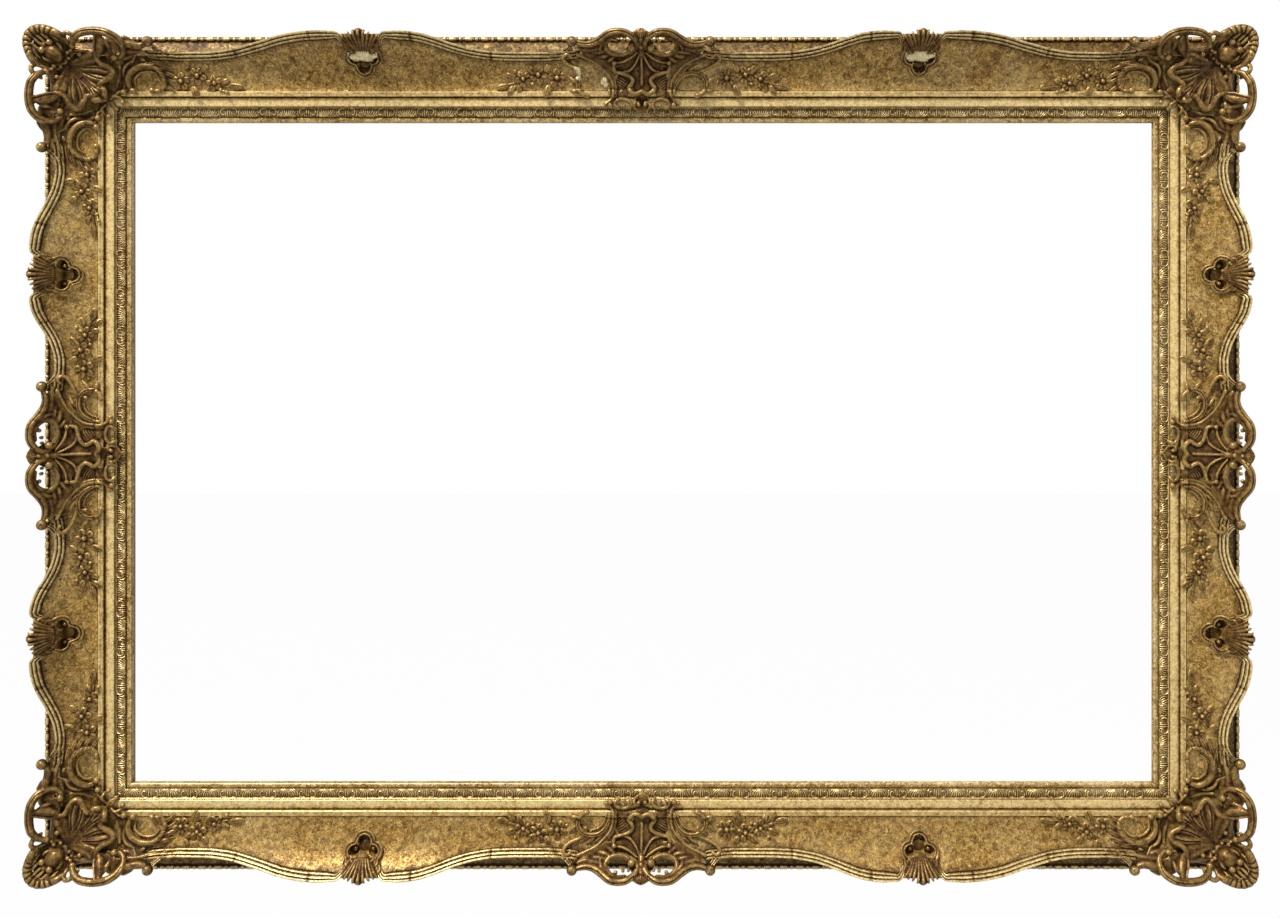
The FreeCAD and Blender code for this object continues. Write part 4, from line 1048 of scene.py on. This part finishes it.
ornament_gilt = gilding("gilded composition", (0.046, 0.020, 0.004, 1), (0.150, 0.082, 0.018, 1),
                        (0.36, 0.235, 0.080, 1), mottle=170.0, speck=600.0, dirt_and_shade_share=1.0, rub=0.3,
                        grain=0.35)
mirror_x = Matrix.Diagonal((-1, 1, 1, 1))
mirror_y = Matrix.Diagonal((1, -1, 1, 1))
corners = (
    ("top_right", Matrix()), ("top_left", mirror_x), ("bottom_right", mirror_y),
    ("bottom_left", mirror_x @ mirror_y),
)
to_corner = Matrix.Translation((long_half, side_half, 0))
model = corner_model()
for word, mirror in corners:
    piece = twin(model, "corner_shell_" + word)
    seat(piece, stand_up @ mirror @ to_corner, ornament_gilt, "ornament_gilding", "corner_ornament_" + word)
scrap(model)

# Centre ornaments: a cast palmette with a scalloped rim under two pierced arches, between winding bands,
# with a scroll and a leaf stem on each side. It is pinned over the cove at the middle of each rail.


def mirrored(lines):
    """The same lines on the other side of a rail's centre."""
    return [[(-p[0],) + tuple(p[1:]) for p in line] for line in lines]


def mirrored_drops(rows):
    """The same drops on the other side of a rail's centre."""
    return [(-r[0],) + r[1:6] + tuple(-turn for turn in r[6:]) for r in rows]


# The right half of the centre, as rods and drops. Each scroll and leaf of it has its own line.
centre_arch = [
    [(4.1, 66.7, 5, 2.5), (3.4, 70.9, 6, 2.8), (6.4, 74.7, 6, 3.1), (11.9, 77.7, 6, 3.5),
     (18.6, 79.4, 6, 3.7), (25.8, 79.2, 5.5, 3.8), (32.1, 77.3, 5, 3.7), (37.3, 74.5, 4.5, 3.4),
     (40.9, 71.2, 4, 2.7)],
    [(31.3, 77.7, 4.5, 3.4), (38.1, 73.9, 4.5, 4), (45, 70.7, 4.5, 3.8), (51.8, 69.6, 4.5, 3.4),
     (57.7, 70.3, 4.5, 2.9), (62.2, 71.7, 4.5, 2)],
    [(38.3, 68.6, 3, 2.7), (46, 66.8, 3, 3.1), (53.7, 65.8, 3, 2.7), (60.1, 67.1, 3, 1.6)],
    [(15.3, 76.1, 4.5, 2), (22.9, 76.9, 4.5, 2.5), (29.7, 75, 4, 2.8), (33.8, 70.9, 3.5, 2.9),
     (33.6, 67.1, 3, 2.9), (29.6, 63.4, 3, 2.9), (23.1, 61.9, 3, 2.9), (17.2, 62.3, 3, 2.7),
     (12.1, 64.2, 3.5, 2.5)],
    [(33.9, 72.3, 6, 1.5), (37.9, 69, 6, 2.1), (39, 65.9, 5, 1.5)],
]
centre_bands = [
    [(60.9, 61.6, 4, 2.0), (53.0, 58.6, 4, 1.6), (43.7, 54.4, 4, 1.4), (36.1, 48.1, 4, 1.4),
     (30.1, 40.8, 4, 1.4), (27.8, 32.5, 4, 1.4), (27.7, 23.8, 4, 1.5), (31.1, 18.9, 3.5, 1.9),
     (35.0, 16.2, 3.4, 2.3)],
    [(55.5, 61.4, 3.4, 1.2), (47.0, 58.7, 3.4, 1.1), (39.4, 54.5, 3.4, 1.1), (32.3, 48.2, 3.4, 1.1),
     (27.2, 41.0, 3.4, 1.1), (25.0, 32.7, 3.4, 1.1), (25.0, 23.9, 3.4, 1.1), (27.7, 17.6, 3.2, 1.3)],
]
centre_rim = [
    [(27.0, 50.6, 5, 1.9), (25.3, 46.1, 5.5, 2.0), (19.0, 44.6, 5.5, 2.0), (12.7, 42.5, 5.5, 2.2),
     (8.9, 38.6, 5.5, 2.3), (9.9, 34.6, 5.5, 2.2), (12.3, 30.7, 5, 2.3), (9.2, 26.4, 4.5, 2.4),
     (4.8, 25.4, 4.5, 2.4), (0.0, 27.3, 5, 2.4)],
]
centre_ribs = [
    [(2.0, 61.0, 5.5, 0.9), (5.8, 53.3, 6, 1.2), (11.3, 47.3, 6, 1.3), (19.0, 45.4, 5.5, 1.1)],
    [(4.4, 62.5, 5.5, 0.9), (11.2, 57.6, 6, 1.2), (18.9, 54.6, 5.5, 1.3), (25.7, 54.2, 5, 1.1)],
]
centre_middle = [
    [(0, 61.8, 5.5, 1.0), (0, 54.8, 6, 1.3), (0, 45.4, 6, 1.4), (0, 34.0, 5, 1.1)],
    [(0, 74.8, 5, 3.0), (0, 68.5, 5, 3.4), (0, 62.4, 4.5, 3.0)],
    [(-7.7, 76.9, 3, 2.6), (-4.0, 79.0, 3.5, 2.8), (0, 81.4, 3.2, 2.4), (4.0, 79.0, 3.5, 2.8),
     (7.7, 76.9, 3, 2.6)],
    [(0, 13.2, 3, 1.3), (0, 9.4, 3, 1.5), (0, 5.1, 2, 1.0)],
]
centre_scrolls = [
    [(31.0, 25.7, 2.5, 1.4), (31.9, 32.7, 3, 1.8), (35.3, 39.3, 3.5, 2.1), (41.3, 43.8, 3.8, 2.3),
     (49.0, 45.0, 3.8, 2.4), (56.7, 42.9, 3.6, 2.3), (61.0, 37.7, 3.4, 2.2), (61.1, 31.0, 3.2, 2.1),
     (57.2, 25.6, 3, 2.3), (52.8, 23.9, 3, 2.8)],
    [(34.5, 28.5, 1.5, 1.0), (37.1, 34.6, 2, 1.1), (42.2, 39.6, 2, 1.1), (49.1, 41.5, 2, 1.1)],
    [(60.3, 37.3, 3.6, 1.6), (57.2, 40.9, 3.8, 1.6), (53.8, 40.8, 4, 1.6)],
    [(61, 36, 2.6, 1.7), (65.5, 38.5, 2.4, 2.2), (70, 42.5, 1.4, 1.1)],
    [(60, 30, 2.4, 1.6), (65, 28.5, 2.2, 2.0), (69.5, 29.5, 1.2, 1.0)],
    [(44, 44.5, 3, 1.6), (47.5, 48.8, 3, 2.1), (53, 52.5, 2, 1.1)],
    [(38, 42.0, 2.8, 1.4), (40.5, 47.0, 2.8, 1.8), (45, 51.5, 2, 1.0)],
    [(30, 62, 3, 1.6), (36, 60, 3.4, 2.2), (43.5, 60, 2.4, 1.3)],
    [(34, 65, 3, 1.6), (41, 63.6, 3.4, 2.2), (49, 63.8, 2.4, 1.3)],
    [(26, 60, 3, 1.5), (30, 56.8, 3.2, 2.0), (35.5, 54.2, 2.4, 1.2)],
    [(60.1, 48.3, 3, 1.6), (66.9, 51.0, 3, 2.0), (72.7, 54.6, 3, 2.1), (74.7, 58.8, 3, 2.0),
     (71.2, 61.5, 3, 2.0), (67.8, 59.7, 3, 1.6)],
    [(52.0, 45.2, 3, 1.8), (57.0, 47.0, 3, 2.0), (62.0, 49.0, 2.8, 1.6)],
    [(12.1, 12.3, 4, 1.9), (10.0, 15.4, 4, 1.7), (12.7, 19.2, 4, 1.8), (18.5, 20.9, 4, 1.9),
     (24.4, 19.2, 4, 1.9), (26.1, 15.1, 4, 1.8), (22.7, 12.7, 4, 2.0)],
    [(0, 8.0, 3, 1.3), (4.8, 11.0, 3.6, 1.4), (7.9, 14.4, 4, 1.4), (6.2, 17.8, 4, 1.4),
     (3.1, 17.8, 4, 1.4)],
]
centre_plates = [
    [(0, 61.0, 2, 8.0), (0, 46.1, 2.2, 14.5), (0, 33.5, 2, 9.0)],
    [(8, 58.0, 2, 7.0), (19.0, 50.5, 2, 7.5)],
    [(15.0, 41.0, 1.0, 9.0), (19.5, 31.0, 1.0, 7.5), (18.0, 22.0, 1.0, 5.0)],
    [(22.0, 56.5, 1.4, 6.5), (34.0, 57.5, 1.6, 7.0), (46.0, 63.5, 1.6, 6.0), (57.0, 67.5, 1.4, 4.0)],
    [(0, 24.0, 1.0, 6.5), (0, 15.0, 1.0, 6.0)],
]
centre_drops = [
    (9.1, 66.6, 6, 3.8), (12.0, 72.6, 2.4, 1.7, 1.7, 3.3, 0), (17.1, 72.9, 2.5, 1.8, 1.8, 3.3, 0),
    (24.0, 73.7, 4, 2.1), (26.2, 53.8, 5, 2.4), (30.6, 15.1, 3.5, 2.7),
    (17.3, 14.5, 2.2, 1.9, 1.9, 3.1, 0), (3.1, 15.3, 4.6, 1.9), (53.8, 38.5, 4.2, 2.0),
]
centre_middle_drops = [
    (0, 67.2, 8, 2.4), (0, 72.6, 8.2, 1.7), (0, 63.4, 6.5, 2.6, 1.4, 1.5, 0),
    (0, 78.4, 2.2, 7.0, 4.0, 4.2, 0),
]
# What a broken centre has in place of its left scroll: two stubs, and chips of bare composition.
centre_stubs = [
    centre_scrolls[0][:3] + [(36.4, 40.4, 3.4, 1.6)], [(62.4, 40.6, 3.2, 1.7)] + centre_scrolls[0][6:],
]
centre_chips = [
    (-61.2, 47.6, 0.5, 2.6, 5.2, 1.8, 24), (-60.6, 41.4, 0.7, 2.2, 2.6, 2.2, 0),
    (-37.0, 38.6, 0.8, 2.8, 4.6, 2.2, -24), (-35.2, 34.4, 0.6, 2.0, 2.6, 1.8, 0),
]


def centre_model(broken):
    """The palmette with its arches, hatched and grooved. A broken one has lost most of its left scroll."""
    half = centre_arch + centre_bands + centre_rim + centre_ribs + centre_scrolls
    left = half
    left_drops = centre_drops
    if broken:
        left = centre_arch + centre_bands + centre_rim + centre_ribs + centre_stubs
        left += centre_scrolls[3:5] + centre_scrolls[7:11] + centre_scrolls[12:]
        left_drops = centre_drops[:-1]
    plates = rods(centre_plates + mirrored(centre_plates), rail_bed, flat=0.24, sides=16)
    parts = [plates, rods(half + mirrored(left) + centre_middle, rail_bed)]
    parts += balls(centre_drops + mirrored_drops(left_drops) + centre_middle_drops, rail_bed)
    if broken:
        parts += balls(centre_chips, rail_bed)
    piece = fuse(parts, "centre", voxel=0.72, soften=2)
    hatching = []
    for k in range(9):
        hatching.append([(14.5 + k * 1.3, 38.5 - k * 1.9, 0), (18.5 + k * 0.9, 41.5 - k * 2.1, 0),
                         (24.0, 44.0 - k * 2.4, 0)])
    carve(piece, hatching + mirrored(hatching), width=0.7, depth=0.8)
    tips = (-3.5, -2.5, -1.5, -0.5, 0.5, 1.5, 2.5, 3.5)
    tip_lines = [[(k * 1.9, 74.5, 0), (k * 1.5, 78.5, 0), (k * 0.7, 82.5, 0)] for k in tips]
    carve(piece, tip_lines, width=0.6, depth=0.8)
    grooves = [centre_arch[0][2:], centre_arch[1], centre_scrolls[0][1:8]]
    carve(piece, grooves + mirrored(grooves), width=0.8, depth=0.9)
    piece = thin(piece, share=0.6, rounds=36, scale=1.1)
    if broken:
        co = on_points(piece, "co")
        rough = np.sin(co[:, 0] * 2.1 + co[:, 1] * 1.3) * np.sin(co[:, 1] * 1.9 - co[:, 0] * 0.9)
        bare = np.zeros(len(co))
        for x, y, lift, length, width, height, turn in centre_chips:
            ahead, aside = math.cos(math.radians(turn)), math.sin(math.radians(turn))
            u = (co[:, 0] - x) * ahead + (co[:, 1] - y) * aside
            v = (co[:, 1] - y) * ahead - (co[:, 0] - x) * aside
            bare = np.maximum(bare, 1.25 + 0.2 * rough - np.hypot(u / length, v / width))
        keep_value(piece, "bare", np.clip(bare * 3, 0, 1))
    return piece


whole_centre = centre_model(False)
broken_centre = centre_model(True)
for word, rail_half, angle, x, y in rails:
    piece = twin(broken_centre if word == "top" else whole_centre, "centre_palmette_" + word)
    seat(piece, rail_place(angle, x, y), ornament_gilt, "ornament_gilding", "centre_ornament_" + word)
scrap(whole_centre)
scrap(broken_centre)

# Clip ornaments: small cast pieces where two ridges meet, eight in all. A fan of ribs stands over a trefoil
# recess with a double rim and two small volutes on each side, and the recess runs down into the cove.
# The right half of a clip, then the floor of its recess and the lump of a broken one.
clip_rims = [
    [(0, 41.6, 2.2, 1.1), (5.0, 43.0, 2.4, 1.2), (8.6, 47.0, 2.6, 1.3), (10.0, 50.6, 2.6, 1.2),
     (14.0, 52.2, 2.8, 1.3), (17.0, 56.0, 3.0, 1.4), (17.2, 60.4, 3.2, 1.5), (15.4, 64.4, 3.4, 1.6)],
    [(0, 44.0, 3.2, 0.8), (4.2, 45.6, 3.2, 0.9), (6.6, 49.2, 3.2, 0.9), (7.8, 52.6, 3.4, 0.9),
     (11.4, 53.6, 3.4, 0.9), (14.4, 56.4, 3.4, 1.0), (15.0, 59.6, 3.6, 1.0), (13.2, 63.0, 3.6, 1.0)],
]
clip_ribs = [
    [(1.8, 63.6, 5.6, 1.1), (2.8, 70, 7.4, 1.5), (4.4, 76.6, 7.0, 1.6), (5.4, 81.0, 4.2, 1.1)],
    [(3.8, 63.8, 5.4, 1.1), (5.6, 69.5, 7.0, 1.5), (8.4, 75.8, 6.4, 1.6), (9.8, 79.2, 3.8, 1.1)],
    [(5.8, 64.2, 5.0, 1.1), (8.4, 69.5, 6.2, 1.5), (11.8, 75.2, 5.6, 1.6), (13.8, 78.0, 3.2, 1.1)],
    [(7.8, 65.2, 4.2, 1.0), (11.0, 70.4, 5.2, 1.5), (14.8, 75.2, 4.4, 1.6), (17.2, 77.4, 2.4, 1.0)],
]
clip_middle_rib = [[(0, 63.6, 5.6, 1.1), (0, 70, 7.6, 1.6), (0, 78, 7.2, 1.7), (0, 82.6, 4.4, 1.0)]]
clip_volutes = [
    [(11.0, 64.2, 4.4, 0.9), (9.2, 66.2, 4.6, 1.0), (10.0, 69.0, 4.6, 1.1), (13.0, 69.8, 4.2, 1.1),
     (15.2, 67.8, 3.8, 1.1), (14.6, 64.8, 3.8, 1.1)],
    [(13.4, 71.8, 4.0, 0.9), (14.2, 74.4, 3.8, 1.0), (17.0, 74.6, 3.2, 1.1), (18.4, 72.0, 2.8, 1.1),
     (17.0, 69.4, 2.8, 1.1)],
]
clip_plates = [
    [(0, 64.5, 3.0, 7.0), (0, 72, 4.6, 9.0), (0, 79, 2.8, 5.0)],
    [(9, 67.5, 2.2, 5.0), (13.5, 73.5, 1.8, 4.4)],
    [(14.5, 67.0, 1.4, 3.6), (16.0, 71.0, 1.0, 3.2)],
]
clip_floor = [
    (0, 50.0, -5.6, 7.2, 7.2, 2.2, 0), (9.4, 58.2, -6.6, 6.2, 6.0, 2.4, 0),
    (-9.4, 58.2, -6.6, 6.2, 6.0, 2.4, 0), (0, 58.0, -6.4, 8.0, 7.0, 2.4, 0), (0.6, 46.6, -2.2, 2.0),
    (8.6, 58.6, -3.2, 2.0), (-8.6, 58.6, -3.2, 2.0),
]
clip_lump = [
    (-8.6, 61.0, -0.4, 5.6, 3.6, 4.2, 12), (-1.5, 60.2, -0.6, 6.4, 3.4, 4.6, -14),
    (6.0, 60.4, -0.4, 6.2, 3.2, 4.2, 8), (10.8, 61.6, -0.2, 3.6, 2.6, 3.4, -20),
    (2.0, 57.4, -1.4, 7.6, 2.0, 3.0, -6), (-7.0, 57.6, -1.6, 4.6, 2.0, 2.8, 10),
]


def clip_model(broken):
    """One clip. A broken one shows a rough lump of bare composition under its fan."""
    half = clip_rims + clip_ribs + clip_volutes
    parts = [rods(clip_plates + mirrored(clip_plates), rail_bed, flat=0.3, sides=14)]
    parts.append(rods(half + mirrored(half) + clip_middle_rib, rail_bed, sides=8))
    parts += balls(clip_floor, rail_bed)
    if broken:
        parts += balls(clip_lump, rail_bed)
    piece = fuse(parts, "clip", voxel=0.5, soften=1)
    piece = thin(piece, share=0.42, rounds=30, scale=0.8)
    if broken:
        co = on_points(piece, "co")
        rough = np.sin(co[:, 0] * 2.3 + co[:, 1] * 3.1) * np.sin(co[:, 1] * 1.7 - co[:, 0] * 1.1)
        bare = np.clip(1 - np.abs(co[:, 1] - 59.6) / 4.4 + 0.25 * rough, 0, 1)
        bare *= np.clip((co[:, 2] - cove_height(59.6) + 1.6) / 1.5, 0, 1) * (np.abs(co[:, 0]) < 14.0)
        bare *= co[:, 1] < 63.4
        keep_value(piece, "bare", np.minimum(1, bare * 3))
    return piece


whole_clip = clip_model(False)
broken_clip = clip_model(True)
for word, rail_half, angle, x, y in rails:
    clip_at = rail_half * clip_share
    for order, side in (("first", -1), ("second", 1)):
        piece = twin(broken_clip if word == "top" else whole_clip, "clip_fan_%s_%s" % (word, order))
        place = rail_place(angle, x, y) @ Matrix.Translation((side * clip_at, 0, 0))
        seat(piece, place, ornament_gilt, "ornament_gilding", "clip_ornament_%s_%s" % (word, order))
scrap(whole_clip)
scrap(broken_clip)

# Flower sprays: twigs of cast composition with three open flowers, leaves and berries, glued in the coves
# on both sides of every corner and every centre ornament.


def flower(x, y, radius, turn):
    """Five cupped petals round a bead, as rows for drops."""
    rows = [(x, y, 2.6, radius * 0.26), (x, y, 0.8, radius * 0.5, radius * 0.5, 1.4, 0)]
    reach = radius * 0.66
    for k in range(5):
        angle = turn + 72 * k
        petal_x = x + reach * math.cos(math.radians(angle))
        petal_y = y + reach * math.sin(math.radians(angle))
        rows.append((petal_x, petal_y, 1.3, radius * 0.46, radius * 0.42, 2.0, angle))
    return rows


def spray_model(flowers, leaves, berries, stems):
    """A spray on its cove, with the petals cupped and the leaves veined."""
    rows = []
    for row in flowers:
        rows += flower(*row)
    rows += [(x, y, 1.3, length * 1.1, width * 1.3, 1.9, turn) for x, y, length, width, turn in leaves]
    rows += [(x, y, 1.6, r) for x, y, r in berries]
    parts = [rods([[(x, y, 0.9, 1.3) for x, y in line] for line in stems], rail_bed, sides=7)]
    parts += balls(rows, rail_bed)
    piece = fuse(parts, "spray", voxel=0.55, soften=1)
    cups, veins = [], []
    for x, y, radius, turn in flowers:
        for k in range(5):
            ahead, aside = math.cos(math.radians(turn + 72 * k)), math.sin(math.radians(turn + 72 * k))
            cups.append([(x + ahead * radius * q, y + aside * radius * q, 0) for q in (0.5, 0.65, 0.8)])
    for x, y, length, width, turn in leaves:
        ahead, aside = math.cos(math.radians(turn)), math.sin(math.radians(turn))
        veins.append([(x + ahead * length * q, y + aside * length * q, 0) for q in (-0.9, 0, 0.9)])
    carve(piece, cups, width=1.6, depth=0.45)
    carve(piece, veins, width=0.6, depth=0.32)
    return thin(piece, share=0.5, rounds=24, scale=0.7)


# Flowers: x, y, radius, turn. Leaves: x, y, half length, half width, turn. Berries: x, y, radius.
corner_spray = spray_model(
    flowers=((-52, 38, 8, 20), (-68, 43, 8, 50), (-84, 36, 7.4, 5)),
    leaves=((-58.6, 54, 5.0, 2.6, 100), (-65.5, 28, 5.4, 2.8, 70), (-76, 50.5, 4.2, 2.4, 130),
            (-105, 33.4, 7.0, 2.5, 8), (-94, 37.5, 4.4, 2.3, 150), (-77.5, 32.5, 4.2, 2.2, 60),
            (-60, 46.5, 3.8, 2.1, 40)),
    berries=((-90, 29.4, 2.2), (-96, 27.3, 2.0)),
    stems=(((-46, 34), (-58, 41), (-70, 40), (-84, 36), (-96, 33), (-108, 33)),
           ((-84, 36), (-90, 30), (-96, 27.6))),
)
centre_spray = spray_model(
    flowers=((81.4, 41, 8.8, 15), (99.5, 44, 8.2, 40), (114, 40, 7.6, 60)),
    leaves=((107.5, 49.5, 5.6, 2.7, 48), (91, 28.5, 6.0, 2.8, -72), (126, 29, 5.4, 2.6, -60),
            (126.5, 43, 5.0, 2.5, 20), (134, 33, 6.0, 2.6, -12), (90.5, 50.5, 4.4, 2.4, 120),
            (118, 31.5, 4.4, 2.3, -80)),
    berries=((121.5, 47.5, 1.8), (105, 35.5, 1.8)),
    stems=(((72, 37), (82, 41), (98, 42), (114, 39), (128, 35), (138, 32)),
           ((114, 39), (122, 33), (127, 28))),
)


def pair(model, name, swap):
    """Both sprays of one node: the model and its mirror image, joined."""
    first = twin(model, name)
    second = twin(model, "second")
    second.data.transform(swap)
    second.data.flip_normals()
    pick(first)
    second.select_set(True)
    bpy.ops.object.join()
    return first


spray_gilt = gilding("gilding on the sprays", (0.055, 0.025, 0.005, 1), (0.175, 0.098, 0.022, 1),
                     (0.44, 0.30, 0.105, 1), mottle=170.0, speck=600.0, dirt_and_shade_share=1.0, rub=0.35, grain=0.35)
swap_arms = Matrix(((0, 1, 0, 0), (1, 0, 0, 0), (0, 0, 1, 0), (0, 0, 0, 1)))
for word, mirror in corners:
    piece = pair(corner_spray, "corner_twigs_" + word, swap_arms)
    seat(piece, stand_up @ mirror @ to_corner, spray_gilt, "spray_gilding", "corner_sprays_" + word)
for word, rail_half, angle, x, y in rails:
    piece = pair(centre_spray, "centre_twigs_" + word, mirror_x)
    seat(piece, rail_place(angle, x, y), spray_gilt, "spray_gilding", "centre_sprays_" + word)
scrap(corner_spray)
scrap(centre_spray)

# Hangers, buttons, screws and pads on the back: plated straps with a swinging ring, pressed steel buttons
# that hold the picture in, pan-head screws, and felt pads that keep the frame off the wall.


def metal(name, colour, darkened, rough):
    """Bare metal, dulled in patches."""
    made, nodes, links, shader = new_material(name)
    set_inputs(shader, Metallic=1.0)
    place = nodes.new("ShaderNodeTexCoord")
    tarnish = add_node(nodes, "TexNoise", Scale=180.0, Detail=5.0)
    tone = two_tones(nodes, 0.38, darkened, 0.58, colour)
    dull = add_node(nodes, "MapRange", To_Min=rough + 0.25, To_Max=rough)
    connect(
        links, (place, "Object", tarnish, "Vector"), (tarnish, "Fac", tone, "Fac"),
        (tarnish, "Fac", dull, "Value"), (tone, "Color", shader, "Base Color"),
        (dull, "Result", shader, "Roughness"),
    )
    return made


brass = metal("tarnished brass", (0.70, 0.52, 0.24, 1), (0.30, 0.20, 0.09, 1), rough=0.25)
steel = metal("dull plated steel", (0.56, 0.55, 0.52, 1), (0.30, 0.26, 0.22, 1), rough=0.3)
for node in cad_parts:
    if node.startswith(("hanger_strap", "hanger_ring")):
        dress(node, brass)
    if node.startswith(("turn_button", "hanger_screws")):
        dress(node, steel)

felt, felt_nodes, felt_links, felt_shader = new_material("brown felt")
felt_place = felt_nodes.new("ShaderNodeTexCoord")
felt_fibre = add_node(felt_nodes, "TexNoise", Scale=1500.0, Detail=6.0)
felt_tone = two_tones(felt_nodes, 0.0, (0.035, 0.026, 0.020, 1), 1.0, (0.16, 0.12, 0.095, 1))
felt_bump = add_node(felt_nodes, "Bump", Distance=0.0005)
set_inputs(felt_shader, Roughness=0.95, Sheen_Weight=0.4)
connect(
    felt_links, (felt_place, "Object", felt_fibre, "Vector"), (felt_fibre, "Fac", felt_tone, "Fac"),
    (felt_tone, "Color", felt_shader, "Base Color"), (felt_fibre, "Fac", felt_bump, "Height"),
    (felt_bump, "Normal", felt_shader, "Normal"),
)
dress("wall_pads", felt)

# Studio: a plain pale floor under the hung frame, one large soft lamp high on the left, weak ones on the
# right and behind, and an even world that shows white to the camera.
floor_drop = 1.1
floor_side = 16.0
floor_seen = 0.975
bpy.ops.object.select_all(action="DESELECT")
bpy.ops.mesh.primitive_plane_add(size=floor_side, location=(0, 0, -floor_drop))
floor = bpy.context.object
floor.name = "floor"
paper, paper_nodes, paper_links, paper_shader = new_material("white paper")
set_inputs(paper_shader, Base_Color=(0.55, 0.55, 0.55, 1), Roughness=0.9)


def seen_directly(nodes, links):
    """1 for what the camera sees straight, in a reflection or through glass."""
    path = nodes.new("ShaderNodeLightPath")
    total = path.outputs["Is Camera Ray"]
    for kind in ("Is Glossy Ray", "Is Transmission Ray"):
        more = nodes.new("ShaderNodeMath")
        more.operation = "ADD"
        more.use_clamp = True
        links.new(total, more.inputs[0])
        links.new(path.outputs[kind], more.inputs[1])
        total = more.outputs["Value"]
    return total


def shown_white(nodes, links, seen, plain, plain_out, white, white_out, output):
    """Show the white shader where the camera sees it, and the plain one to everything else."""
    mix = nodes.new("ShaderNodeMixShader")
    links.new(seen, mix.inputs["Fac"])
    links.new(plain.outputs[plain_out], mix.inputs[1])
    links.new(white.outputs[white_out], mix.inputs[2])
    links.new(mix.outputs["Shader"], nodes[output].inputs["Surface"])


seen_share = paper_nodes.new("ShaderNodeMath")
seen_share.operation = "MULTIPLY"
seen_share.inputs[1].default_value = floor_seen
paper_links.new(seen_directly(paper_nodes, paper_links), seen_share.inputs[0])
glow = add_node(paper_nodes, "Emission", Strength=1.0)
shown_white(paper_nodes, paper_links, seen_share.outputs["Value"], paper_shader, "BSDF", glow, "Emission",
            "Material Output")
floor.data.materials.append(paper)


def lamp(name, place, size, power, tint):
    """A round lamp aimed at the middle of the frame."""
    data = bpy.data.lights.new(name, "AREA")
    data.shape = "DISK"
    data.size = size
    data.energy = power
    data.color = tint
    light = bpy.data.objects.new(name, data)
    bpy.context.scene.collection.objects.link(light)
    light.location = place
    light.rotation_euler = (-Vector(place)).to_track_quat("-Z", "Y").to_euler()


lamp("key lamp", (-1.9, -2.3, 4.3), size=1.5, power=500.0, tint=(1.0, 0.97, 0.92))
lamp("fill lamp", (1.8, -1.6, 0.3), size=1.4, power=6.0, tint=(0.95, 0.97, 1.0))
lamp("back lamp", (0.8, 1.8, 1.2), size=1.2, power=14.0, tint=(1, 1, 1))

world = bpy.data.worlds.new("studio")
bpy.context.scene.world = world
world.use_nodes = True
sky = world.node_tree.nodes
sky_links = world.node_tree.links
set_inputs(sky["Background"], Color=(0.62, 0.63, 0.66, 1), Strength=0.38)
white_sky = add_node(sky, "Background", Color=(1, 1, 1, 1), Strength=1.0)
shown_white(sky, sky_links, seen_directly(sky, sky_links), sky["Background"], "Background",
            white_sky, "Background", "World Output")

camera_place = (0.060, -1.274, 0.125)
camera_shift = (-0.0503, -0.1057)
camera_lens = 36.13
camera_data = bpy.data.cameras.new("camera")
camera_data.sensor_width = 36.0
camera_data.lens = camera_lens
camera_data.shift_x, camera_data.shift_y = camera_shift
camera = bpy.data.objects.new("camera", camera_data)
bpy.context.scene.collection.objects.link(camera)
camera.location = camera_place
camera.rotation_euler = (math.pi / 2, 0, 0)
bpy.context.scene.camera = camera
bpy.context.scene.view_settings.view_transform = "Standard"
